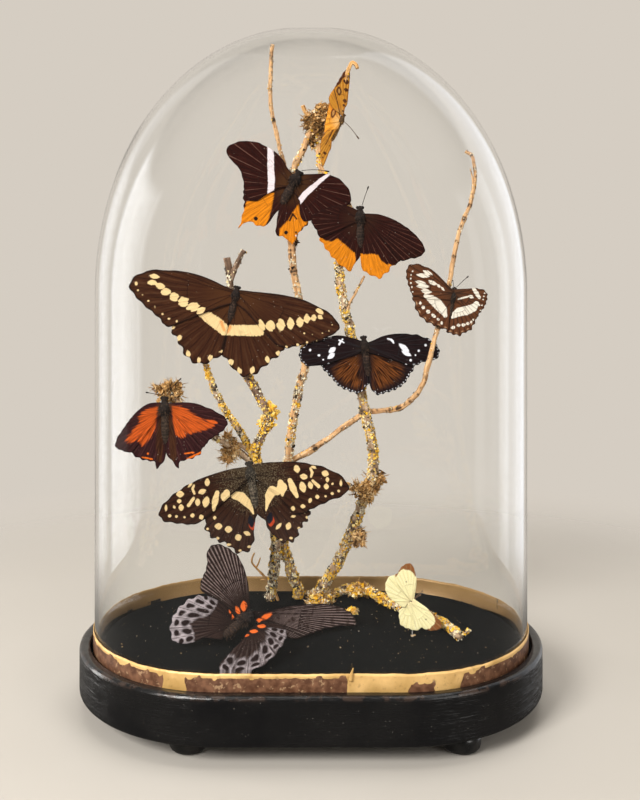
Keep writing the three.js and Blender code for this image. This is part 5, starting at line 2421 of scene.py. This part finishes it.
def sailer() -> Butterfly:
    """Small brown and white sailer.

    Returns:
        The butterfly.
    """
    left = (
        (-14.9, 12.9, 2.7, 1, -22), (-17.7, 11.3, 3.4, 1.1, -8), (-12.1, 7.3, 2.6, 1.05, -22),
        (-8.6, 5.5, 1.1, 0.7, -50), (-6.4, 3.9, 1.4, 0.55, -50), (-19.1, 7.4, 2.8, 1, -12),
        (-17.7, 5.3, 3.3, 1.15, -3), (-15.8, 2.4, 2.9, 1.3, -12),
        ((-16.2, 0, 1), (-12.9, -1.8, 2.2), (-9.3, -4.7, 2.8), (-6.4, -7.9, 2.4), (-4.9, -11.1, 1.2)),
        (-23.6, 13.8, 0.5, 0.6), (-24.5, 11.6, 0.4, 0.5), (-24.7, 9.5, 0.4, 0.5), (-24.6, 7.1, 0.4, 0.5),
        (-24, 4.9, 0.45, 0.5), (-23.6, 2.3, 0.4), (-19.1, -4.3, 0.7, 0.9), (-17.4, -6.6, 1, 0.9, -30),
        (-14.6, -8.9, 1.2, 1.1, -30), (-11.5, -11.3, 1.4, 0.9, -40), (-8.9, -13.3, 1, 0.8, -40),
        (-6.9, -15.4, 0.7, 1, 20),
    )
    right = (
        (
            (10.8, 4, 0.8), (12.5, 1.5, 1.2), (14.1, -1.1, 0.8),
        ), (9.4, -0.6, 1.4, 0.9, -20), (12.9, -5, 1.6, 1, -20),
        ((2.3, -2, 0.35), (4.8, -1.3, 0.45), (7.6, -0.6, 0.45)),
        ((-0.5, -11.4, 1.5), (3, -9.2, 2.4), (7.2, -8.3, 2.5), (10.8, -6.8, 2.1), (12.5, -4.3, 1.2)),
        (17, 1.3, 0.4), (16.6, -0.3, 0.4), (16.2, -2.1, 0.4), (15.5, -5.4, 0.4), (14.8, -8.2, 0.4),
        (-0.5, -18, 1.2, 0.9, 15), (2.6, -16.7, 0.9), (5.3, -16.5, 1.1, 0.9), (7.7, -15.7, 0.9, 0.8),
        (9.6, -14.9, 0.6, 0.8), (10.7, -13.6, 0.4, 0.6),
    )
    finish = WingFinish(
        "sailer_scales", (0.080, 0.027, 0.0105), (0.115, 0.041, 0.017), (0.060, 0.026, 0.013), 8,
        (0.045, 0.019, 0.010), 0.8, (0.028, 0.013, 0.008), (0.13, 0.06, 0.03), 1, 0.25, 0.3, vein_on_ink=0.5,
        inks=(Ink((0.76, 0.71, 0.61), 0.18, 0.5, 0.06, 0.02), Ink((0.42, 0.25, 0.14), 0.2, 0.2)),
    )
    faint = (Row(0.9, 0.32, 0.4),)
    wings = (
        WingPlan(
            "left_hindwing", "left_wings", Half.LOWER, (-23, -1.4), 8, 0.45, inks={"a": left, "b": faint},
        ),
        WingPlan("left_forewing", "left_wings", Half.UPPER, (-23, -1.4), 9, 0.3, inks={"a": left}),
        WingPlan(
            "right_hindwing", "right_wings", Half.LOWER, (12.1, -12.2), 8, 0.45, ((3.4, -22.6),),
            inks={"a": right, "b": faint},
        ),
        WingPlan("right_forewing", "right_wings", Half.UPPER, (12.1, -12.2), 9, 0.3, inks={"a": right}),
    )
    return Butterfly(
        "sailer_butterfly", (80.6, 0.2, 225), (0.7, 0, 5), (-3.1, 1.3, -18.1), 2, wings, finish, GREY_FUR,
        (((1.6, -0.8, 4.7), (8.1, -2, 10.9)), ((0, -0.8, 4.9), (-0.9, -2.4, 8.8))), 200, step=0.5,
    )


def black_spotted() -> Butterfly:
    """Black butterfly with white spots, chequered margins and brown rayed hind wings.

    Returns:
        The butterfly.
    """
    left = (
        (
            (-13, 4.6, 0.45), (-14.3, 2.8, 0.55), (-14.9, 1.6, 0.6),
        ), ((-14.9, 4, 0.5), (-13.6, 3.4, 0.5), (-12.2, 2.5, 0.3)),
        (-18.9, -1.6, 2.3, 1.4, 38), (-19.5, -5, 2.3, 1.3, 35), (-31.5, -1.5, 0.75, 0.85), (-26.4, -4.5, 0.7),
        (-24, -7, 0.5), (-20.9, -9.6, 0.7), (-17.7, -12.2, 0.6),
    )
    right = (
        (
            (12.8, 4.7, 0.45), (14.7, 4.3, 0.6), (15.7, 3.3, 0.6), (16.2, 2.2, 0.4),
        ), (22.2, -0.5, 3.5, 1.4, -38), (23.6, -3.6, 3, 1.2, -28),
        (34.8, 1, 0.7, 0.8), (30.8, -2.2, 0.7), (28.9, -4.7, 0.5), (26.1, -7.6, 0.7), (23.3, -10.3, 0.75),
    )
    chequer = Row(0.62, 0.3, 0.38, True)
    left_brown = (
        (-4, -3.5), (-9, -5.5), (-14.5, -9), (-17.5, -13), (-16.5, -17), (-11, -20.5), (-6, -22.5), (-2, -23),
    )
    right_brown = (
        (4, -3.5), (9, -5), (16, -8.5), (21, -12.5), (20.5, -16.5), (15, -20.5), (9.5, -23), (5.5, -23.5),
        (4.5, -14),
    )
    finish = WingFinish(
        "black_spotted_scales", (0.0085, 0.0036, 0.0042), (0.015, 0.0075, 0.0085), (0.016, 0.010, 0.009), 9,
        (0.004, 0.003, 0.003), 0.8, (0.016, 0.014, 0.016), (0.02, 0.012, 0.012), 1, 0.2, 0.3,
        (Ink((0.17, 0.052, 0.012), 3, 0.6, 0.93), Ink((0.82, 0.83, 0.90), 0.2, 0.25, 0.04)),
    )
    wings = (
        WingPlan("left_forewing", veins=9, scallop=0.35, inks={"b": (*left, chequer)}),
        WingPlan("left_hindwing", veins=10, scallop=0.4, inks={"a": (left_brown,), "b": (chequer,)}),
        WingPlan("right_forewing", veins=9, scallop=0.35, inks={"b": (*right, chequer)}),
        WingPlan("right_hindwing", veins=10, scallop=0.4, inks={"a": (right_brown,), "b": (chequer,)}),
    )
    return Butterfly(
        "black_spotted_butterfly", (31, 8.5, 195.5), (-1.1, 0, 6.6), (2, 1, -17.8), 2.9, wings, finish,
        DARK_FUR, step=0.52,
    )


def red_maroon() -> Butterfly:
    """Tattered maroon butterfly with orange-red middles to its wings.

    Returns:
        The butterfly.
    """
    left = (
        (-3.9, 1), (-4.7, -5.4), (-5.4, -11.9), (-7.6, -16.1), (-10, -18.2), (-12.5, -21), (-14.6, -17.1),
        (-17.7, -18.1), (-21.3, -18.7), (-20.6, -15.2), (-18.1, -13.1), (-18.4, -11.3), (-16.3, -10.2),
        (-13.9, -7.4), (-14.6, -4.6), (-12.5, -1.7), (-8.3, 0.4),
    )
    right = (
        (4.4, 1.4), (9.7, 1.5), (14, -1), (19.1, -4.5), (23.4, -6.2), (27.8, -5.6), (29.6, -7), (27, -10.1),
        (21.3, -12), (16.9, -12.7), (13.3, -13.9), (9.7, -16.2), (6, -14.3), (4.6, -6.8),
    )
    finish = WingFinish(
        "red_maroon_scales", (0.021, 0.0055, 0.0065), (0.036, 0.0095, 0.0105), (0.075, 0.032, 0.014), 7,
        (0.020, 0.007, 0.008), 0.9, (0.030, 0.011, 0.008), (0.10, 0.04, 0.035), 1, 0.2, 0.4,
        (
            Ink((0.60, 0.10, 0.014), 0.7, 2.2, 0.55), Ink((0.66, 0.13, 0.012), 0.2, 0.4),
            Ink((0.060, 0.021, 0.009), 0.7, 1.6, 0.6),
        ),
    )
    wings = (
        WingPlan(
            "left_hindwing", "left_wings", Half.LOWER, (-17.9, -25), 7, 0.4, ((-1.6, -34), (-4.3, -33.6)),
            inks={
                "a": (left,),
                "b": (
                    ((-12.5, -27, 0.4), (-9.7, -27.5, 0.45), (-6.8, -28.2, 0.4)), (-9.3, -25, 0.6),
                    (-1.8, -32.6, 0.9, 0.6),
                ),
                "c": (((-1.9, -4, 1.2), (-2.6, -12, 1.7), (-2.9, -20, 1.9), (-2.6, -28, 1.5)),),
            },
        ),
        WingPlan("left_forewing", "left_wings", Half.UPPER, (-17.9, -25), 9, 0.2, inks={"a": (left,)}),
        WingPlan(
            "right_hindwing", "right_wings", Half.LOWER, (20.9, -22.5), 7, 0.5, ((4.6, -34), (7.9, -33.2)),
            inks={
                "a": (right,),
                "b": (
                    ((11.1, -25, 0.35), (14, -24.5, 0.45), (16.6, -24.2, 0.3)),
                    ((12.6, -27.9, 0.5), (16.9, -26, 0.6), (20.9, -24, 0.5)),
                ),
                "c": (((2.4, -4, 1.2), (3.8, -12, 1.7), (4.6, -20, 1.9), (4.9, -28, 1.5)),),
            },
        ),
        WingPlan("right_forewing", "right_wings", Half.UPPER, (20.9, -22.5), 9, 0.2, inks={"a": (right,)}),
    )
    return Butterfly(
        "red_maroon_butterfly", (-82.3, -1, 161.4), (-0.3, 0, 7.2), (0.6, 1, -21), 3.4, wings, finish,
        GREY_FUR,
        (((0.8, -1, 7.2), (9.5, -3, 17.3)), ((-1, -1, 6.9), (-10.6, -2.5, 9.4))),
    )


def great_mormon() -> Butterfly:
    """Great mormon on the floor, its undersides streaked, with red bases and two rows of dark ovals.

    Returns:
        The butterfly.
    """
    finish = WingFinish(
        "great_mormon_scales", (0.015, 0.0075, 0.006), (0.024, 0.012, 0.0095), (0.012, 0.007, 0.0055), 14,
        (0.014, 0.008, 0.007), 0.7, (0.008, 0.004, 0.0035), (0.20, 0.148, 0.138), 0.5, 0.24, 0.95,
        (
            Ink((0.38, 0.33, 0.345), 0.7, 0.9, 0.4), Ink((0.011, 0.005, 0.0045), 0.3, 0.3),
            Ink((0.74, 0.135, 0.022), 0.25, 0.25, 0.12),
        ),
        vein_on_ink=0.7,
    )
    ovals = (Row(2.5, 1.35, 0.66), Row(6.9, 2.1, 0.74))
    left_hind = {"a": (Rim(9.2),), "b": ovals}
    right_hind = {"a": (Row(2.5, 2.3, 0.95), Row(6.9, 3, 0.97)), "b": ovals}
    wings = (
        WingPlan(
            "left_hindwing", veins=8, scallop=0.45, streaks=0.12,
            inks={**left_hind, "c": ((-6.9, 2.6, 0.9, 2, -25), (-9, 4.4, 0.7, 1.3))},
        ),
        WingPlan(
            "left_forewing", veins=10, scallop=0.2,
            inks={"c": ((-1.7, 6.6, 1.7, 2.5), (-4.9, 4.6, 1.1, 2.3, 25))},
        ),
        WingPlan(
            "right_forewing", veins=10, scallop=0.2,
            inks={"c": ((10.4, -0.3, 3, 1.1, 12), (6.6, -1.3, 1.8, 0.8, 10))},
        ),
        WingPlan(
            "right_hindwing", veins=8, scallop=0.45, lying=True, streaks=0.12,
            inks={
                **right_hind,
                "c": ((8.6, -9.6, 2.4, 1.5, -20), (4.6, -13, 2.2, 1.5, -20), (1, -15.6, 1.3, 1)),
            },
        ),
    )
    return Butterfly(
        "great_mormon", (-35.2, -15, 47.9), (2.7, 1.4, 3.4), (-11.7, -8, -6.6), 3.7, wings, finish, DARK_FUR,
        grip=7.0,
    )


def pale_yellow() -> Butterfly:
    """Small pale yellow butterfly with brown wing tips, held up on a pin.

    Returns:
        The butterfly.
    """
    upper_tip = (
        (-9.5, 13.6), (-8.5, 14.1), (-7.1, 16.4), (-5.9, 17.5), (-4.4, 18), (-2.8, 17.4), (-1.2, 17.3),
        (0.4, 16.2), (2, 14), (3.9, 12.6), (3.8, 22.3), (-7.7, 23.4),
    )
    lower_tip = (
        (8.6, -3.6), (11.3, -6.6), (12.7, -8.5), (13, -10.6), (12.4, -12.2), (11.1, -13.2), (10.1, -14.6),
        (8.4, -14.8), (7.2, -17.6), (19, -18), (17.5, -5.3),
    )
    finish = WingFinish(
        "pale_yellow_scales", (0.90, 0.83, 0.47), (0.86, 0.78, 0.40), (0.80, 0.68, 0.38), 5,
        (0.86, 0.78, 0.46), 0.5, (0.78, 0.70, 0.38), (0.93, 0.89, 0.62), 1, 0.3, 0.5,
        (Ink((0.26, 0.095, 0.028), 0.3, 0.7, 0.25), Ink((0.20, 0.16, 0.10), 0.3, 0.1)),
    )
    wings = (
        WingPlan("left_hindwing", "upper_wings", Half.LEFT, (-9.3, 14.2), 7, 0.12),
        WingPlan(
            "left_forewing", "upper_wings", Half.RIGHT, (-9.3, 14.2), 8, 0.12,
            inks={"a": (upper_tip,), "b": ((-3, 10.9, 0.5, 0.4),)},
        ),
        WingPlan("right_hindwing", "lower_wings", Half.LEFT, (3.6, -14.7), 7, 0.2),
        WingPlan(
            "right_forewing", "lower_wings", Half.RIGHT, (3.6, -14.7), 8, 0.15,
            inks={"a": (lower_tip,), "b": ((7.9, -9.6, 0.5, 0.4),)},
        ),
    )
    return Butterfly(
        "pale_butterfly", (56.3, -4, 54.2), (2.2, 0, 1.9), (-6.2, 1, -4.8), 1.2, wings, finish, PALE_FUR,
        (((1.2, -0.6, 1.4), (6.4, -1.5, 6)), ((1, -0.4, 1), (5.2, -2, 4))), 120, step=0.5,
    )


def orange_leaf() -> Butterfly:
    """Orange butterfly at the top, seen nearly edge on, with eyespots and brown marks.

    Returns:
        The butterfly.
    """
    upper = (
        (
            (1, 31.6), (4.8, 32.4), (5.9, 25.4), (3.5, 27.2), (1, 24.8), (-0.5, 21.6), (-3.4, 18.4),
            (-4.4, 21.2),
        ),
        (3, 23.6, 1.6), (3, 18.7, 1.4, 1.1), (2.2, 12.1, 1.2, 1.1), (1.6, 9.4, 0.8), (1.2, 6, 0.7, 0.6),
        (-6.8, -2.2, 0.4), (-7.5, -4, 0.4), ((-4.4, 18, 0.25), (-2, 9.5, 0.3), (-0.5, 3, 0.25)),
    )
    rings = ((-1.2, 17, 1.5, 2.5), (-4.4, 4.7, 1.4, 3.2, -15))
    lower = (
        (-9.4, -20, 0.9), (-10.6, -22.5, 0.5), (-6.8, -15.4, 0.4),
        ((-3.6, -3.5, 0.3), (-6.4, -9.6, 0.35), (-9, -15, 0.3)),
    )
    finish = WingFinish(
        "orange_leaf_scales", (0.82, 0.36, 0.04), (0.66, 0.24, 0.022), (0.72, 0.42, 0.15), 7,
        (0.22, 0.08, 0.02), 0.45, (0.50, 0.20, 0.03), (0.90, 0.55, 0.12), 1, 0.35, 0.5,
        (
            Ink((0.095, 0.030, 0.014), 0.25, 0.4), Ink((0.12, 0.04, 0.016), 0.25, 0.2),
            Ink((0.62, 0.33, 0.10), 0.2, 0.1),
        ),
    )
    eyes = tuple((x, z, a * 0.42, b * 0.55, *turn) for x, z, a, b, *turn in rings)
    hind = (
        (-4.4, 13.6), (-1.4, 7), (-0.4, 0), (-3.4, -5.1), (-8.6, -9), (-9.6, -3.7), (-8.3, 2.9), (-6.9, 8.9),
    )
    wings = (
        WingPlan(
            "left_forewing", "upper_wings", veins=8, scallop=0.12, grip=3.0,
            inks={"a": upper, "b": rings[:1], "c": eyes[:1]},
        ),
        WingPlan(
            "left_hindwing", "upper_wings", veins=7, scallop=0.1, grip=2.0, outline=hind,
            plane=(0.25, 0.02, -1.6), inks={"b": rings[1:], "c": eyes[1:], "a": upper[-1:]},
        ),
        WingPlan(
            "right_wings", "lower_wings", veins=7, scallop=0.2, grip=3.0, tips=((-10.8, -28.2),),
            inks={"a": lower},
        ),
    )
    return Butterfly(
        "orange_leaf_butterfly", (17, 1, 323.2), (1.8, 0, 4.6), (-5.4, 0.6, -11), 1.9, wings, finish,
        TAWNY_FUR, (((1.2, -1, 0.5), (10, -2.5, -10)),), 220, closed=0.0, step=0.45,
    )


# ---- Camera and studio ----


@dataclass
class Studio:
    """Camera, lights, room light and the pale floor."""

    camera_at: Point = (0.0, -0.5385, 0.2338)
    lens: float = 42.885
    shift: Spot = (0.01125, -0.15)
    wall: Colour = (0.665, 0.610, 0.540)
    daylight: Colour = (0.605, 0.615, 0.640)
    mirrored: float = 0.06
    fill: float = 0.45
    glass_loss: float = 0.13
    window_spans: tuple[tuple[float, float, float, float, float], ...] = (
        (4, 14, 34, 5, 5.6), (34, 5, 50, 7, 4.6), (126, 8, 146, 6, 2.2), (146, 8, 174, 16, 1.2),
    )
    floor_radius: float = 1.3

    def build(self, glass: Object) -> None:
        """Set up the view, the light and the floor; the lamps aren't mirrored in the glass.

        Args:
            glass: the dome, which the lamps leave out.
        """
        lit = bpy.data.collections.new("lit_by_lamps")
        lit.objects.link(glass)
        lit.collection_objects[0].light_linking.link_state = "EXCLUDE"
        self.camera()
        self.room()
        self.floor()
        lamp, target = self.lamp, (0.0, 0.0, 0.19)
        lamp("key", (-0.8, -1.15, 0.95), target, (0.55, 0.55), 32.0, lit)
        lamp("front_right_fill", (0.95, -1.05, 0.6), target, (0.6, 0.9), 6.5, lit)
        lamp("top_light", (0.1, 0.0, 1.3), target, (1.0, 1.0), 8.0, lit)
        lamp("left_strip", (-1.2, 0.28, 0.22), (0.0, 0.0, 0.03), (0.25, 0.7), 6.0, lit)

    def camera(self) -> None:
        """A level camera in front of the dome."""
        data = bpy.data.cameras.new("camera")
        data.lens = self.lens
        data.sensor_width = 36.0
        data.shift_x, data.shift_y = self.shift
        data.clip_start, data.clip_end = 0.01, 50
        camera = bpy.data.objects.new("camera", data)
        camera.location = self.camera_at
        camera.rotation_euler = (math.pi / 2, 0, 0)
        bpy.context.scene.collection.objects.link(camera)
        bpy.context.scene.camera = camera

    def room(self) -> None:
        """Light the room evenly in warm grey, with soft windows that only reflections show."""
        world = bpy.data.worlds.new("room")
        world.use_nodes = True
        room, back = Nodes(world.node_tree), world.node_tree.nodes["Background"].inputs
        path = room.node("ShaderNodeLightPath").outputs
        way = room.node("ShaderNodeSeparateXYZ")
        room.join(room.node("ShaderNodeTexCoord").outputs["Generated"], way.inputs[0])
        x, y, z = way.outputs
        glossy = room.maths("MINIMUM", path["Glossy Depth"], 1.0)
        past_glass = room.maths("GREATER_THAN", path["Transmission Depth"], 3.5)
        windows = room.times(self.windows(room, room.maths("ARCTAN2", y, x)), room.step(z, -0.33, -0.24))
        windows = room.times(windows, room.maths("MULTIPLY_ADD", past_glass, 0.75, 0.25))
        cool = room.mix(room.maths("MINIMUM", room.times(windows, glossy), 1.0), self.wall, self.daylight)
        room.join(cool, back[0])
        behind = room.times(room.step(y, 0.25, 0.75), room.step(z, -0.36, -0.26))
        windows = room.maths("MULTIPLY_ADD", behind, 1.0 - self.mirrored, windows)
        shown = room.maths("MULTIPLY_ADD", glossy, room.plus(windows, self.mirrored - 1.0), 1.0)
        cleared = room.times(past_glass, room.less(1.0, glossy))
        shown = room.maths("MULTIPLY_ADD", cleared, self.glass_loss, shown)
        room.join(room.maths("MULTIPLY_ADD", path["Is Diffuse Ray"], self.fill - 1.0, shown), back[1])
        bpy.context.scene.world = world
        bpy.context.scene.view_settings.view_transform = "Standard"

    def windows(self, room: Nodes, angle: Socket) -> object:
        """Set tall soft windows round the room.

        Args:
            room: the room's nodes.
            angle: the way looked in, from the right, seen from above.

        Returns:
            How bright the windows are that way.
        """
        total: object = 0.0
        for start, rise, end, drop, power in self.window_spans:
            up = room.step(angle, math.radians(start), math.radians(start + rise))
            down = room.step(angle, math.radians(end), math.radians(end + drop))
            total = room.maths("MULTIPLY_ADD", room.less(up, down), power, total)
        return total

    def floor(self) -> None:
        """A pale floor that fades into the room."""
        count, rings = 96, 14
        turn, height = circle(count), -0.0005
        radii = np.linspace(self.floor_radius / rings, self.floor_radius, rings)
        loops = [np.stack([r * np.cos(turn), r * np.sin(turn), np.full(count, height)], 1) for r in radii]
        points, faces = lofted(loops, (0, 0, height))
        mesh = bpy.data.meshes.new("pale_floor")
        mesh.from_pydata(points.tolist(), [], [tuple(reversed(f)) for f in faces])
        paint = Paint("pale_floor")
        cloud = paint.clouds(9, 3)
        paint.coat(
            paint.mix(cloud, (0.50, 0.47, 0.425), (0.535, 0.505, 0.46)), paint.step(cloud, -1.0, 1.6),
            Specular_IOR_Level=0.2,
        )
        away = paint.node("ShaderNodeVectorMath", operation="LENGTH")
        paint.join(paint.space, away.inputs[0])
        mirrored = paint.maths("MINIMUM", paint.node("ShaderNodeLightPath").outputs["Glossy Depth"], 0.85)
        paint.clear_where(paint.maths("MAXIMUM", paint.step(away.outputs["Value"], 0.26, 0.62), mirrored))
        mesh.materials.append(paint.material)
        floor = bpy.data.objects.new("pale_floor", mesh)
        bpy.context.scene.collection.objects.link(floor)

    def lamp(
        self, name: str, at: Point, to: Point, size: Spot, power: float, lit: bpy.types.Collection,
    ) -> None:
        """One soft box.

        Args:
            name: the lamp's name.
            at: where it stands, in metres.
            to: what it points at.
            size: width and height in metres.
            power: watts.
            lit: names what the lamp leaves out.
        """
        data = bpy.data.lights.new(name, "AREA")
        data.shape = "RECTANGLE"
        data.size, data.size_y = size
        data.energy = power
        data.color = (1.0, 0.975, 0.94)
        lamp = bpy.data.objects.new(name, data)
        lamp.location = at
        lamp.rotation_euler = (Vector(to) - Vector(at)).to_track_quat("-Z", "Y").to_euler()
        lamp.visible_camera = lamp.visible_transmission = False
        lamp.light_linking.receiver_collection = lit
        bpy.context.scene.collection.objects.link(lamp)


def corners(box: tuple[Vector, Vector]) -> list[list[float]]:
    """A box as plain lists."""
    return [list(box[0]), list(box[1])]


def main() -> None:
    """Build the whole object, then the studio."""
    logging.basicConfig(level=logging.INFO, format="%(message)s")
    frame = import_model()
    Stand().build()
    glass = Dome().build()
    Branchwork().build()
    makers = (
        brown_swallowtail, citrus_swallowtail, white_banded, maroon_orange, sailer, black_spotted, red_maroon,
        great_mormon, pale_yellow, orange_leaf,
    )
    for seed, make in enumerate(makers, 500):
        make().build(frame["nodes"], seed)
    Studio().build(glass)
    bpy.context.view_layer.update()


if __name__ == "__main__":
    main()
